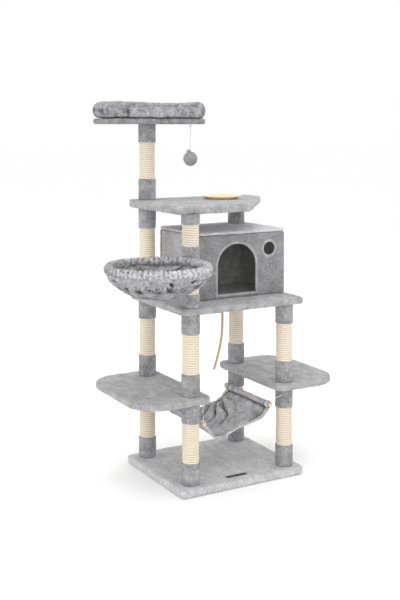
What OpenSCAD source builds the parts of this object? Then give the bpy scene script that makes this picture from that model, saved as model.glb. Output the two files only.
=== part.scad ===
// Cat tree with four columns, two side platforms, a house, a basket, a hammock,
// an upper platform with a dish and a raised perch.
// Millimetres. Origin: centre of the base's underside. +Z up, front faces -Y.

/* [Base and main platform] */
// Base width, left to right
base_w = 600; // [480:5:800]
// Base depth, front to back
base_d = 516; // [400:2:700]
// Base thickness with its cover
base_t = 35; // [24:1:50]
// Corner radius of the base
base_r = 14; // [4:1:40]
// Left column axes in from the base's left edge
column_in_left = 70; // [45:1:120]
// Right column axes in from the base's right edge
column_in_right = 62; // [45:1:120]
// Column axes in from the base's front and back edges
column_in_y = 60; // [45:1:120]
// Thickness of the side and main platforms with their covers
platform_t = 29; // [20:1:40]
// Main platform past the left column axes
main_left = 56; // [45:1:90]
// Main platform past the right column axes
main_right = 78; // [45:1:120]
// Main platform past the front column axes
main_front = 42; // [40:1:90]
// Main platform past the back column axes
main_back = 62; // [45:1:90]
// Corner radius of the main platform
main_r = 22; // [4:1:40]

/* [Side platforms] */
// Left platform past the left column axes
left_reach = 256; // [120:1:320]
// Left platform inside the left column axes
left_inner = 70; // [50:1:90]
// Right platform past the right column axes
right_reach = 267; // [120:1:320]
// Right platform inside the right column axes
right_inner = 64; // [50:1:90]
// Side platforms past the front column axes
side_front = 60; // [45:1:90]
// Left platform past the back column axes
left_back = 82; // [45:1:100]
// Right platform past the back column axes
right_back = 64; // [45:1:100]
// Radius of the two outer corners of a side platform
side_outer_r = 125; // [40:1:160]
// Radius of the two inner corners of a side platform
side_inner_r = 36; // [8:1:48]

/* [Upper platform and dish] */
// Upper platform thickness with its cover
upper_t = 35; // [24:1:50]
// Upper platform past the left column axes
upper_left = 64; // [45:1:100]
// Upper platform past the right column axes
upper_right = 90; // [60:1:120]
// Upper platform past the front column axes
upper_front = 25; // [5:1:60]
// Upper platform past the back column axes
upper_back = 59; // [45:1:100]
// Cut corner: how far it takes away the front edge
corner_cut_x = 283; // [60:1:330]
// Cut corner: how far it takes away the right edge
corner_cut_y = 356; // [60:1:400]
// Corner radius of the upper platform
upper_r = 20; // [6:1:40]
// Outer radius of the dish
dish_r = 86; // [60:1:110]
// Radius of the dish's foot
dish_foot_r = 66; // [40:1:100]
// Height of the dish
dish_h = 15; // [10:1:40]
// Wall and floor of the dish
dish_wall = 2.6; // [1.6:0.2:5]
// Dish centre right of the left column axes
dish_x = 315; // [200:1:400]
// Dish centre behind the front column axes
dish_y = 273; // [120:1:320]

/* [Posts] */
// Height of the posts between base and side platforms
lower_post_h = 339; // [200:1:500]
// Height of the posts between side platforms and main platform
middle_post_h = 338; // [200:1:500]
// Height of the post between main and upper platform
upper_post_h = 384; // [360:1:500]
// Height of the post under the perch
perch_post_h = 336; // [200:1:500]
// Height of the post under the basket bracket
basket_post_h = 194; // [150:1:240]
// Outer diameter of the card tube
tube_d = 61; // [50:1:90]
// Wall of the card tube
tube_wall = 4; // [2:0.5:8]
// Thickness of the sisal rope wound on the tube
sisal_t = 5; // [3:0.5:10]
// Thickness of the plush cuff over the sisal
cuff_t = 3.5; // [2:0.5:8]
// Cuff at the foot of a long post
cuff_low = 92; // [30:1:120]
// Cuff at the head of a long post
cuff_high = 82; // [30:1:120]
// Cuff at the foot of a short post
short_cuff_low = 56; // [20:1:60]
// Cuff at the head of a short post
short_cuff_high = 41; // [20:1:60]
// Height of the plug in each tube end
plug_h = 20; // [12:1:40]

/* [Fasteners] */
// Diameter of the joining studs and bolts
stud_d = 8; // [6:1:12]
// Radial room round a stud in a board
stud_room = 0.5; // [0.2:0.1:2]
// Radial room between a plug and its tube
plug_room = 0.2; // [0.1:0.1:1]
// Length of stud inside a plug
stud_grip = 16; // [8:1:18]
// Length of stud inside a board it doesn't pass
stud_blind = 14; // [8:1:18]
// Diameter of a bolt head
bolt_head_d = 16; // [12:1:24]
// Height of a bolt head
bolt_head_h = 5; // [3:0.5:8]
// How deep a bolt head lies in the base
bolt_sink = 8; // [6:1:14]
// Thickness of the plush cover on the boards
cover_t = 2.5; // [1:0.5:6]

/* [House] */
// House width, left to right
house_w = 443; // [300:1:480]
// House depth, front to back
house_d = 359; // [260:1:380]
// House height
house_h = 291; // [240:1:340]
// Thickness of a house panel
panel_t = 15; // [9:1:24]
// House right of the right column axes
house_right = 69; // [42:1:80]
// House behind the back column axes
house_back = 60; // [42:1:80]
// Door width
door_w = 201; // [140:1:240]
// Door height from its sill to the top of the arch
door_h = 223; // [150:1:240]
// Height of the door sill
door_sill = 16; // [8:1:40]
// Room between door and window
window_gap = 35; // [20:1:60]
// How far door and window together stand right of the house's middle
openings_shift = 19.5; // [-30:0.5:40]
// Window diameter
window_d = 65; // [40:1:90]
// Window centre above the main platform
window_z = 205; // [80:1:230]
// Width of the trim round door and window
trim_w = 8; // [4:1:14]
// Thickness of the trim
trim_t = 3; // [1.5:0.5:6]

/* [Basket] */
// Radius of the basket's ring
basket_r = 196; // [140:1:220]
// Radius of the ring's wire
basket_wire_r = 4; // [3:0.5:6]
// Radius of the gathered rim round the wire
rim_r = 14; // [10:1:20]
// Depth of the pouch below the ring
pouch_depth = 112; // [80:1:160]
// Radius of the pouch's flat bottom
pouch_foot_r = 92; // [60:1:140]
// Thickness of the pouch
pouch_wall = 7; // [4:1:12]
// Room between the basket's rim and the cuffs of its post
basket_gap = 3; // [2:1:40]
// Direction of the basket seen from above, from +X
basket_turn = 211; // [180:1:240]
// Thickness of the clamped bracket plate
bracket_t = 4; // [2:0.5:6]
// Radius of the bracket plate round the stud
bracket_r = 26; // [15:1:35]
// Width of the bracket's arm
bracket_arm_w = 24; // [12:1:40]

/* [Perch] */
// Perch board width
perch_w = 440; // [300:2:560]
// Perch board depth
perch_d = 315; // [240:1:420]
// Perch board thickness with its cover
perch_t = 24; // [22:1:40]
// Corner radius of the perch board
perch_r = 55; // [20:1:90]
// How far the perch is set right of its post
perch_shift_x = 10; // [-40:1:40]
// How far the perch is set behind its post
perch_shift_y = -2; // [-40:1:40]
// Diameter of the bolster at the back and sides
bolster_d = 79; // [50:1:100]
// Diameter of the bolster at the front
bolster_front_d = 52; // [30:1:70]
// How far the bolster stands out past the perch board
bolster_out = 12; // [0:1:25]
// Corner radius of the bolster's outline
bolster_corner = 66; // [40:1:100]

/* [Hammock] */
// Length of the hammock's rods
rod_len = 376; // [240:1:390]
// Diameter of the rods
rod_d = 10; // [6:1:16]
// Length of the sling along the rods
sling_len = 344; // [200:1:350]
// Radius of the sling's rod pockets
pocket_r = 13; // [9:1:18]
// Thickness of the sling
sling_t = 4; // [3:0.5:8]
// Left rod right of the left column axes
rod_left_x = 71; // [60:1:100]
// Right rod left of the right column axes
rod_right_x = 64; // [60:1:100]
// Left rod below the left side platform
rod_left_drop = 106; // [60:1:160]
// Right rod below the right side platform
rod_right_drop = 71; // [60:1:160]
// How far the sling's middle is drawn below its rods
sling_drop = 134; // [60:1:160]
// Room between a rod and its pocket
rod_room = 0.3; // [0.1:0.1:1]
// Middle radius of a rod ring
ring_r = 9.5; // [8:0.5:14]
// Wire radius of the rings and eyes
wire_r = 1.6; // [1:0.1:2.5]

/* [Hanging toys] */
// Pompom diameter
pompom_d = 60; // [40:1:80]
// Pompom centre below the perch
pompom_drop = 153; // [90:1:220]
// String diameter
string_d = 2.4; // [1.6:0.2:4]
// Toy staple right of the perch's centre
toy_x = 135; // [40:1:180]
// Toy staple before the perch's centre
toy_y = 134; // [40:1:140]
// Rope diameter
rope_d = 12; // [8:1:20]

/* [Label] */
// Length of the blank label
label_w = 98; // [40:1:160]
// Depth of the blank label
label_d = 20; // [10:1:40]
// Thickness of the blank label
label_t = 1.2; // [0.6:0.2:3]
// Corner radius of the blank label
label_r = 4; // [1:1:9]
// Label centre left of the base's centre
label_left = 14; // [-150:1:150]
// Label centre behind the base's front edge
label_in = 49; // [20:1:100]

/* [Hidden] */
$fn = 64;

xl = -base_w/2 + column_in_left;
xr = base_w/2 - column_in_right;
yf = -base_d/2 + column_in_y;
yb = base_d/2 - column_in_y;

side_z = base_t + lower_post_h;
main_z = side_z + platform_t + middle_post_h;
deck_z = main_z + platform_t;
upper_z = deck_z + upper_post_h;
shelf_z = upper_z + upper_t;
perch_z = shelf_z + perch_post_h;
seat_z = perch_z + perch_t;
roof_z = deck_z + house_h;
bracket_z = deck_z + basket_post_h;

tube_r = tube_d/2;
sisal_r = tube_r + sisal_t;
cuff_r = sisal_r + cuff_t;
stud_r = stud_d/2;
plug_r = tube_r - tube_wall - plug_room;

// Board outlines, anticlockwise from the front left corner.
base_pts = box_pts(-base_w/2, -base_d/2, base_w/2, base_d/2);
left_pts = box_pts(xl - left_reach, yf - side_front, xl + left_inner, yb + left_back);
right_pts = box_pts(xr - right_inner, yf - side_front, xr + right_reach, yb + right_back);
main_pts = box_pts(xl - main_left, yf - main_front, xr + main_right, yb + main_back);
upper_x0 = xl - upper_left;
upper_x1 = xr + upper_right;
upper_y0 = yf - upper_front;
upper_y1 = yb + upper_back;
upper_pts = [[upper_x0, upper_y0], [upper_x1 - corner_cut_x, upper_y0],
             [upper_x1, upper_y0 + corner_cut_y], [upper_x1, upper_y1], [upper_x0, upper_y1]];
px = xl + perch_shift_x;
py = yb + perch_shift_y;
perch_pts = box_pts(px - perch_w/2, py - perch_d/2, px + perch_w/2, py + perch_d/2);

base_rs = [base_r, base_r, base_r, base_r];
left_rs = [side_outer_r, side_inner_r, side_inner_r, side_outer_r];
right_rs = [side_inner_r, side_outer_r, side_outer_r, side_inner_r];
main_rs = [main_r, main_r, main_r, main_r];
upper_rs = [upper_r, upper_r*2, upper_r*2, upper_r, upper_r];
perch_rs = [perch_r, perch_r, perch_r, perch_r];

// Posts: [x, y, foot height, head height, lower cuff, upper cuff]
posts_back_left = [
    [xl, yb, base_t, side_z, cuff_low, cuff_high],
    [xl, yb, side_z + platform_t, main_z, cuff_low, cuff_high],
    [xl, yb, deck_z, upper_z, cuff_low, cuff_low],
    [xl, yb, shelf_z, perch_z, cuff_low, cuff_high]];
posts_front_left = [
    [xl, yf, base_t, side_z, cuff_low, cuff_high],
    [xl, yf, side_z + platform_t, main_z, cuff_low, cuff_high],
    [xl, yf, deck_z, bracket_z, short_cuff_low, short_cuff_low],
    [xl, yf, bracket_z + bracket_t, upper_z, short_cuff_low, short_cuff_high]];
posts_front_right = [
    [xr, yf, base_t, side_z, cuff_low, cuff_high],
    [xr, yf, side_z + platform_t, main_z, cuff_low, cuff_high]];
posts_back_right = [
    [xr, yb, base_t, side_z, cuff_low, cuff_high],
    [xr, yb, side_z + platform_t, main_z, cuff_low, cuff_high]];
roof_posts = [[xr, yb, roof_z, upper_z, 0, 0]];
all_posts = concat(posts_back_left, posts_front_left, posts_front_right, posts_back_right, roof_posts);

// Studs: [x, y, lower end, upper end]
studs = [
    [xl, yb, side_z - stud_grip, side_z + platform_t + stud_grip],
    [xl, yf, side_z - stud_grip, side_z + platform_t + stud_grip],
    [xr, yb, side_z - stud_grip, side_z + platform_t + stud_grip],
    [xr, yf, side_z - stud_grip, side_z + platform_t + stud_grip],
    [xl, yb, main_z - stud_grip, deck_z + stud_grip],
    [xl, yf, main_z - stud_grip, deck_z + stud_grip],
    [xr, yb, main_z - stud_grip, main_z + stud_blind],
    [xr, yf, main_z - stud_grip, main_z + stud_blind],
    [xl, yf, bracket_z - stud_grip, bracket_z + bracket_t + stud_grip],
    [xl, yb, upper_z - stud_grip, shelf_z + stud_grip],
    [xl, yf, upper_z - stud_grip, upper_z + stud_blind],
    [xr, yb, upper_z - stud_grip, upper_z + stud_blind],
    [xl, yb, perch_z - stud_grip, perch_z + stud_blind]];

house_x0 = xr + house_right - house_w;
house_x1 = xr + house_right;
house_y0 = yb + house_back - house_d;
house_y1 = yb + house_back;
openings_w = door_w + window_gap + window_d;
openings_x0 = (house_x0 + house_x1)/2 + openings_shift - openings_w/2;
door_cx = openings_x0 + door_w/2;
window_cx = openings_x0 + openings_w - window_d/2;
sill_z = deck_z + door_sill;

basket_reach = cuff_r + basket_gap + rim_r + basket_r;
basket_x = xl + basket_reach*cos(basket_turn);
basket_y = yf + basket_reach*sin(basket_turn);
ring_z = bracket_z + bracket_t/2;

rod_xl = xl + rod_left_x;
rod_xr = xr - rod_right_x;
rod_left_z = side_z - rod_left_drop;
rod_right_z = side_z - rod_right_drop;
// Eyes under the side platforms that the hammock's ties come down from.
eye_drop = 9;
eye_r = 5;
eye_left_x = 58;
eye_left_y = -3;
eye_right_x = -35;
eye_right_y = 44;
eye_left = [xl + eye_left_x, yb + eye_left_y];
eye_right = [xr + eye_right_x, yb + eye_right_y];
eye_z = side_z - eye_drop;
ring_in = 6;
ring_y = rod_len/2 - ring_in;
ring_lift = ring_r - wire_r - rod_d/2;

// Toy under the perch: staple, ring, string with its loop, ball.
staple_r = 5;
staple_wire = 0.9;
staple_leg = 2;
link_gap = 0.1;
bight = staple_leg + staple_r;
toy = [px + toy_x, py - toy_y];
link_r = 4.5;
link_z = perch_z - bight + staple_wire + link_gap - (link_r - staple_wire);
string_pivot = link_z - link_r;
loop_r = 3.6;
loop_wire = 0.8;
loop_z = string_pivot + staple_wire + link_gap - (loop_r - loop_wire);
pompom_z = perch_z - pompom_drop;

// Rope under the main platform.
rope_at = [43, 0];
rope_loop_r = 7;
rope_loop_wire = 2;
rope_loop_z = main_z - bight + staple_wire + link_gap - (rope_loop_r - rope_loop_wire);
rope_pts = [[43, 0, 724], [43, 0, 690], [43, 0, 655], [42, 0, 620], [39, 0, 585],
            [32, 0, 545], [22, 0, 510], [11, 0, 475], [-1, 0, 440]];

// ---- Outlines -------------------------------------------------------------

function box_pts(x0, y0, x1, y1) = [[x0, y0], [x1, y0], [x1, y1], [x0, y1]];
function unit(v) = v/norm(v);
function next(p, i) = p[(i + 1) % len(p)];
function prev(p, i) = p[(i + len(p) - 1) % len(p)];

label_x = -label_left;
label_y = -base_d/2 + label_in;

// Outline moved inwards by d: each corner slides along both of its edges' normals.
function inset(p, d) = [for (i = [0:len(p) - 1])
    let (u = unit(p[i] - prev(p, i)), v = unit(next(p, i) - p[i]),
         a = [-u[1], u[0]], b = [-v[1], v[0]])
    p[i] + (a + b)*d/(1 + a*b)];

// Half of the angle through which the outline turns at corner i.
function half_turn(p, i) =
    let (u = unit(p[i] - prev(p, i)), v = unit(next(p, i) - p[i]))
    acos(min(1, u*v))/2;

// Outline with each corner rounded by its own radius.
module rounded(p, r) {
    polygon([for (i = [0:len(p) - 1])
        let (t = r[i]*tan(half_turn(p, i)), u = unit(p[i] - prev(p, i)), v = unit(next(p, i) - p[i]))
        each [p[i] - u*t, p[i] + v*t]]);
    for (i = [0:len(p) - 1])
        let (t = r[i]*tan(half_turn(p, i)), u = unit(p[i] - prev(p, i)))
        translate(p[i] - u*t + [-u[1], u[0]]*r[i]) circle(r[i]);
}

module slab(p, r, z0, z1) {
    translate([0, 0, z0]) linear_extrude(z1 - z0) rounded(p, r);
}

module holes(at, r, z0, z1) {
    for (q = at) translate([q[0], q[1], z0]) cylinder(r = r, h = z1 - z0);
}

// Board inside its cover. "through" are stud holes right through, "blind" from below only.
module board(p, r, z0, t, through, blind) {
    difference() {
        slab(inset(p, cover_t), [for (q = r) max(1, q - cover_t)], z0 + cover_t, z0 + t - cover_t);
        holes(through, stud_r + stud_room, z0 - 1, z0 + t + 1);
        holes(blind, stud_r, z0 - 1, z0 + stud_blind);
    }
}

// Plush cover closed round the board, open only at the stud holes.
module cover(p, r, z0, t, through, blind) {
    difference() {
        slab(p, r, z0, z0 + t);
        slab(inset(p, cover_t), [for (q = r) max(1, q - cover_t)], z0 + cover_t, z0 + t - cover_t);
        holes(through, stud_r + stud_room, z0 - 1, z0 + t + 1);
        holes(blind, stud_r + stud_room, z0 - 1, z0 + cover_t + 1);
    }
}

columns = [[xl, yb], [xl, yf], [xr, yf], [xr, yb]];

// ---- Boards and covers ----------------------------------------------------

module base_board() color([0.76, 0.62, 0.44]) difference() {
    board(base_pts, base_rs, 0, base_t, columns, []);
    holes(columns, bolt_head_d/2 + 2, -1, bolt_sink);
}
module base_cover() color([0.66, 0.66, 0.67]) difference() {
    cover(base_pts, base_rs, 0, base_t, columns, []);
    holes(columns, bolt_head_d/2 + 2, -1, cover_t + 1);
}
module left_board() color([0.76, 0.62, 0.44])
    board(left_pts, left_rs, side_z, platform_t, [[xl, yb], [xl, yf]], []);
module left_cover() color([0.64, 0.64, 0.65])
    cover(left_pts, left_rs, side_z, platform_t, [[xl, yb], [xl, yf]], []);
module right_board() color([0.76, 0.62, 0.44])
    board(right_pts, right_rs, side_z, platform_t, [[xr, yb], [xr, yf]], []);
module right_cover() color([0.68, 0.68, 0.69])
    cover(right_pts, right_rs, side_z, platform_t, [[xr, yb], [xr, yf]], []);
module main_board() color([0.76, 0.62, 0.44])
    board(main_pts, main_rs, main_z, platform_t, [[xl, yb], [xl, yf]], [[xr, yb], [xr, yf]]);
module main_cover() color([0.64, 0.64, 0.65])
    cover(main_pts, main_rs, main_z, platform_t, [[xl, yb], [xl, yf]], [[xr, yb], [xr, yf]]);
module upper_board() color([0.76, 0.62, 0.44])
    board(upper_pts, upper_rs, upper_z, upper_t, [[xl, yb]], [[xl, yf], [xr, yb]]);
module upper_cover() color([0.7, 0.7, 0.71])
    cover(upper_pts, upper_rs, upper_z, upper_t, [[xl, yb]], [[xl, yf], [xr, yb]]);
module perch_board() color([0.76, 0.62, 0.44])
    board(perch_pts, perch_rs, perch_z, perch_t, [], [[xl, yb]]);
module perch_cover() color([0.66, 0.66, 0.67])
    cover(perch_pts, perch_rs, perch_z, perch_t, [], [[xl, yb]]);

// ---- Posts ----------------------------------------------------------------

module sleeve(p, ro, ri, z0, z1) {
    translate([p[0], p[1], z0]) difference() {
        cylinder(r = ro, h = z1 - z0);
        translate([0, 0, -1]) cylinder(r = ri, h = z1 - z0 + 2);
    }
}
module tubes(list) color([0.72, 0.6, 0.45])
    for (p = list) sleeve(p, tube_r, tube_r - tube_wall, p[2], p[3]);
module sisal(p) color([0.88, 0.82, 0.72])
    sleeve(p, sisal_r, tube_r, p[2], p[3]);
module cuffs(list) color([0.55, 0.55, 0.57]) for (p = list) {
    sleeve(p, cuff_r, sisal_r, p[2], p[2] + p[4]);
    sleeve(p, cuff_r, sisal_r, p[3] - p[5], p[3]);
}

module tubes_back_left() tubes(posts_back_left);
module tubes_front_left() tubes(posts_front_left);
module tubes_front_right() tubes(posts_front_right);
module tubes_back_right() tubes(posts_back_right);
module roof_tube() color([0.72, 0.6, 0.45])
    for (p = roof_posts) sleeve(p, sisal_r, tube_r - tube_wall, p[2], p[3]);
module cuffs_back_left() cuffs(posts_back_left);
module cuffs_front_left() cuffs(posts_front_left);
module cuffs_front_right() cuffs(posts_front_right);
module cuffs_back_right() cuffs(posts_back_right);
module roof_sleeve() color([0.4, 0.4, 0.41])
    for (p = roof_posts) sleeve(p, cuff_r, sisal_r, p[2], p[3]);

module end_plugs() color([0.2, 0.2, 0.21]) for (p = all_posts) {
    sleeve(p, plug_r, stud_r, p[2], p[2] + plug_h);
    sleeve(p, plug_r, stud_r, p[3] - plug_h, p[3]);
}
module joining_studs() color([0.75, 0.76, 0.78])
    for (s = studs) translate([s[0], s[1], s[2]]) cylinder(r = stud_r, h = s[3] - s[2]);

// A bolt with its head below z and its shank up to the end of the grip.
module bolt(x, y, z, top) {
    translate([x, y, z - bolt_head_h]) cylinder(d = bolt_head_d, h = bolt_head_h);
    translate([x, y, z - 1]) cylinder(r = stud_r, h = top - z + 1);
}
module bolts() color([0.75, 0.76, 0.78]) {
    for (c = columns) bolt(c[0], c[1], bolt_sink, base_t + stud_grip);
    bolt(xr, yb, roof_z - panel_t, roof_z + stud_grip);
}

// ---- House ----------------------------------------------------------------

// Arched door outline, sill at the origin, grown by g past its edge.
module arch(g) {
    translate([-door_w/2 - g, -g]) square([door_w + 2*g, door_h - door_w/2 + g]);
    translate([0, door_h - door_w/2]) circle(door_w/2 + g, $fn = 96);
}
// Turns a drawing in X and Z into a sheet of thickness t whose front is at y.
module upright(y, t) translate([0, y + t, 0]) rotate([90, 0, 0]) linear_extrude(t) children();

module house_front() color([0.55, 0.55, 0.56]) upright(house_y0, panel_t) difference() {
    translate([house_x0, deck_z]) square([house_w, house_h - panel_t]);
    translate([door_cx, sill_z]) arch(0);
    translate([window_cx, deck_z + window_z]) circle(window_d/2);
}
module house_back() color([0.55, 0.55, 0.56]) upright(house_y1 - panel_t, panel_t)
    translate([house_x0, deck_z]) square([house_w, house_h - panel_t]);
module house_side(x) translate([x, house_y0 + panel_t, deck_z])
    cube([panel_t, house_d - 2*panel_t, house_h - panel_t]);
module house_left() color([0.6, 0.6, 0.61]) house_side(house_x0);
module house_right() color([0.55, 0.55, 0.56]) house_side(house_x1 - panel_t);
module house_roof() color([0.6, 0.6, 0.61]) difference() {
    translate([house_x0, house_y0, roof_z - panel_t]) cube([house_w, house_d, panel_t]);
    holes([[xr, yb]], stud_r + stud_room, roof_z - panel_t - 1, roof_z + 1);
}
module door_trim() color([0.78, 0.78, 0.78]) upright(house_y0 - trim_t, trim_t) difference() {
    translate([door_cx, sill_z]) arch(trim_w);
    translate([door_cx, sill_z]) arch(0);
}
module window_trim() color([0.78, 0.78, 0.78]) upright(house_y0 - trim_t, trim_t)
    translate([window_cx, deck_z + window_z]) difference() {
        circle(window_d/2 + trim_w);
        circle(window_d/2);
    }

// ---- Basket ---------------------------------------------------------------

module torus(r, wire) rotate_extrude($fn = 96) translate([r, 0]) circle(wire, $fn = 24);

module basket_ring() color([0.3, 0.3, 0.31]) {
    translate([basket_x, basket_y, ring_z]) torus(basket_r, basket_wire_r);
    translate([xl, yf, bracket_z]) difference() {
        union() {
            cylinder(r = bracket_r, h = bracket_t);
            rotate([0, 0, basket_turn]) translate([0, -bracket_arm_w/2, 0])
                cube([basket_reach - basket_r + basket_wire_r/2, bracket_arm_w, bracket_t]);
        }
        translate([0, 0, -1]) cylinder(r = stud_r + stud_room, h = bracket_t + 2);
    }
}

// Pouch wall: a quarter wave from the rim in to the flat bottom, from the ring down.
pouch_steps = 12;
function pouch_at(k, inside) =
    let (t = k/pouch_steps, w = inside*pouch_wall)
    [pouch_foot_r + (basket_r + rim_r - 5 - pouch_foot_r)*pow(cos(90*t), 0.62) - w*(1 - 0.35*t),
     -pouch_depth*pow(t, 0.95) + w*t];

module basket_pouch() color([0.66, 0.66, 0.67]) difference() {
    translate([basket_x, basket_y, ring_z]) difference() {
        union() {
            rotate_extrude($fn = 96) polygon(concat(
                [for (k = [0:pouch_steps]) pouch_at(k, 0)], [[0, -pouch_depth]],
                [[0, -pouch_depth + pouch_wall]],
                [for (k = [pouch_steps:-1:0]) pouch_at(k, 1)]));
            torus(basket_r, rim_r);
        }
        torus(basket_r, basket_wire_r + 0.3);
    }
    translate([xl, yf, bracket_z - 0.3]) rotate([0, 0, basket_turn])
        translate([0, -bracket_arm_w/2 - 0.5, 0])
        cube([basket_reach - basket_r + basket_wire_r, bracket_arm_w + 1, bracket_t + 0.6]);
}

// ---- Perch bolster --------------------------------------------------------

// A padded ring round the seat, lower along the front.
module perch_bolster() color([0.6, 0.6, 0.62]) {
    hx = perch_w/2 + bolster_out;
    hy = perch_d/2 + bolster_out;
    ring = box_pts(px - hx, py - hy, px + hx, py + hy);
    corners = [bolster_corner, bolster_corner, bolster_corner, bolster_corner];
    seat = box_pts(px - hx + bolster_d, py - hy + bolster_front_d, px + hx - bolster_d, py + hy - bolster_d);
    difference() {
        slab(ring, corners, seat_z, seat_z + bolster_d);
        slab(seat, corners/3, seat_z - 1, seat_z + bolster_d + 1);
        translate([px - hx + bolster_d, py - hy - 1, seat_z + bolster_front_d])
            cube([2*(hx - bolster_d), bolster_front_d + 10, bolster_d]);
    }
}

// ---- Hammock --------------------------------------------------------------

function bezier(a, b, c, d, t) =
    pow(1 - t, 3)*a + 3*pow(1 - t, 2)*t*b + 3*(1 - t)*t*t*c + t*t*t*d;
sling_a = [rod_xl, rod_left_z];
sling_d = [rod_xr, rod_right_z];
// The cloth leaves the left rod steeply and the right rod in a long slope.
left_lean = 20;
left_fall = 0.72;
right_lean = 140;
sling_b = [rod_xl + left_lean, rod_left_z - sling_drop*left_fall];
sling_c = [rod_xr - right_lean, rod_right_z - sling_drop];
sling_steps = 24;
sling_line = [for (k = [0:sling_steps]) bezier(sling_a, sling_b, sling_c, sling_d, k/sling_steps)];
// Points of the line moved sideways by d, for the two faces of the cloth.
function beside(p, d) = [for (i = [0:len(p) - 1])
    let (u = unit(p[min(i + 1, len(p) - 1)] - p[max(i - 1, 0)]))
    p[i] + [-u[1], u[0]]*d];
function reversed(p) = [for (i = [len(p) - 1:-1:0]) p[i]];

module along_y(len) translate([0, len/2, 0]) rotate([90, 0, 0]) linear_extrude(len) children();

module hammock_sling() color([0.55, 0.55, 0.56]) along_y(sling_len) difference() {
    union() {
        polygon(concat(beside(sling_line, -sling_t/2), reversed(beside(sling_line, sling_t/2))));
        translate(sling_a) circle(pocket_r);
        translate(sling_d) circle(pocket_r);
    }
    translate(sling_a) circle(rod_d/2 + rod_room);
    translate(sling_d) circle(rod_d/2 + rod_room);
}
module hammock_rods() color([0.72, 0.56, 0.36]) for (p = [sling_a, sling_d])
    translate([p[0], 0, p[1]]) {
        rotate([90, 0, 0]) cylinder(d = rod_d, h = rod_len, center = true);
        for (s = [-1, 1]) translate([0, s*(rod_len/2 - 1.5), 0])
            rotate([90, 0, 0]) cylinder(r = rod_d/2 + 3.5, h = 3, center = true);
    }
// Rings that the rods lie in, one at each rod end.
module hammock_rings() color([0.78, 0.6, 0.4]) for (p = [sling_a, sling_d]) for (s = [-1, 1])
    translate([p[0], s*ring_y, p[1] + ring_lift]) rotate([90, 0, 0]) torus(ring_r, wire_r);
// Screw eyes under the side platforms.
module hammock_eyes() color([0.72, 0.73, 0.75]) for (s = [-1, 1]) for (e = [eye_left, eye_right]) {
    translate([e[0], s*e[1], eye_z]) rotate([0, 90, 0]) torus(eye_r, wire_r);
    translate([e[0], s*e[1], eye_z + eye_r]) cylinder(r = wire_r, h = eye_drop - eye_r);
}

// Round cord swept along points, as an eight-sided tube.
function ring_at(p, i, r, n) =
    let (u = unit(p[min(i + 1, len(p) - 1)] - p[max(i - 1, 0)]),
         a = unit(cross(u, abs(u[1]) > 0.9 ? [1, 0, 0] : [0, 1, 0])), b = cross(u, a))
    [for (k = [0:n - 1]) p[i] + r*(cos(360*k/n)*a + sin(360*k/n)*b)];
module cord(p, d, n = 8) {
    m = len(p);
    polyhedron(
        [for (i = [0:m - 1]) each ring_at(p, i, d/2, n)],
        concat([[for (k = [0:n - 1]) k]],
            [for (i = [0:m - 2]) for (k = [0:n - 1])
                [i*n + k, (i + 1)*n + k, (i + 1)*n + (k + 1) % n, i*n + (k + 1) % n]],
            [[for (k = [n - 1:-1:0]) (m - 1)*n + k]]));
}
tie_gap = 2;
tie_foot = [ring_r + wire_r + tie_gap + ring_lift, ring_y];
module hammock_ties() color([0.92, 0.91, 0.88]) for (s = [-1, 1]) {
    for (q = [[sling_a, eye_left], [sling_d, eye_right]])
        cord([[q[1][0], s*q[1][1], eye_z - eye_r - wire_r],
              [q[0][0], s*tie_foot[1], q[0][1] + tie_foot[0]]], 3);
}

// ---- Toys, dish and label -------------------------------------------------

// U-shaped wire staple hanging from height z, its legs along Y.
module staple(x, y, z) translate([x, y, z]) {
    for (s = [-1, 1]) translate([0, s*staple_r, -staple_leg]) cylinder(r = staple_wire, h = staple_leg);
    translate([0, 0, -staple_leg]) rotate([0, 90, 0]) rotate([0, 0, -90])
        rotate_extrude(angle = 180, $fn = 48) translate([staple_r, 0]) circle(staple_wire, $fn = 16);
}
module toy_staples() color([0.75, 0.76, 0.78]) {
    staple(toy[0], toy[1], perch_z);
    staple(rope_at[0], rope_at[1], main_z);
}
module pompom_ring() color([0.75, 0.76, 0.78]) translate([toy[0], toy[1], link_z])
    rotate([90, 0, 0]) torus(link_r, staple_wire);
module pompom_string() color([0.85, 0.85, 0.84]) {
    foot_z = pompom_z + pompom_d/4;
    translate([toy[0], toy[1], loop_z]) rotate([0, 90, 0]) torus(loop_r, loop_wire);
    translate([toy[0], toy[1], foot_z]) cylinder(d = string_d, h = loop_z - loop_r - foot_z);
}
module pompom() color([0.5, 0.5, 0.51]) translate([toy[0], toy[1], pompom_z]) difference() {
    sphere(pompom_d/2);
    translate([0, 0, pompom_d/4]) cylinder(d = string_d, h = pompom_d);
}
module rope_loop() color([0.85, 0.78, 0.66])
    translate([rope_at[0], rope_at[1], rope_loop_z]) rotate([90, 0, 0]) torus(rope_loop_r, rope_loop_wire);
module hanging_rope() color([0.9, 0.84, 0.74]) cord(rope_pts, rope_d, 12);
module dish() color([0.94, 0.86, 0.7]) translate([xl + dish_x, yf + dish_y, shelf_z])
    rotate_extrude($fn = 96) polygon([[0, 0], [dish_foot_r, 0], [dish_r, dish_h - 2.5],
        [dish_r, dish_h], [dish_r - dish_wall*1.4, dish_h],
        [dish_foot_r - dish_wall*0.5, dish_wall], [0, dish_wall]]);
module blank_label() color([0.12, 0.12, 0.13]) slab(
    box_pts(label_x - label_w/2, label_y - label_d/2, label_x + label_w/2, label_y + label_d/2),
    [label_r, label_r, label_r, label_r], base_t, base_t + label_t);

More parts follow.
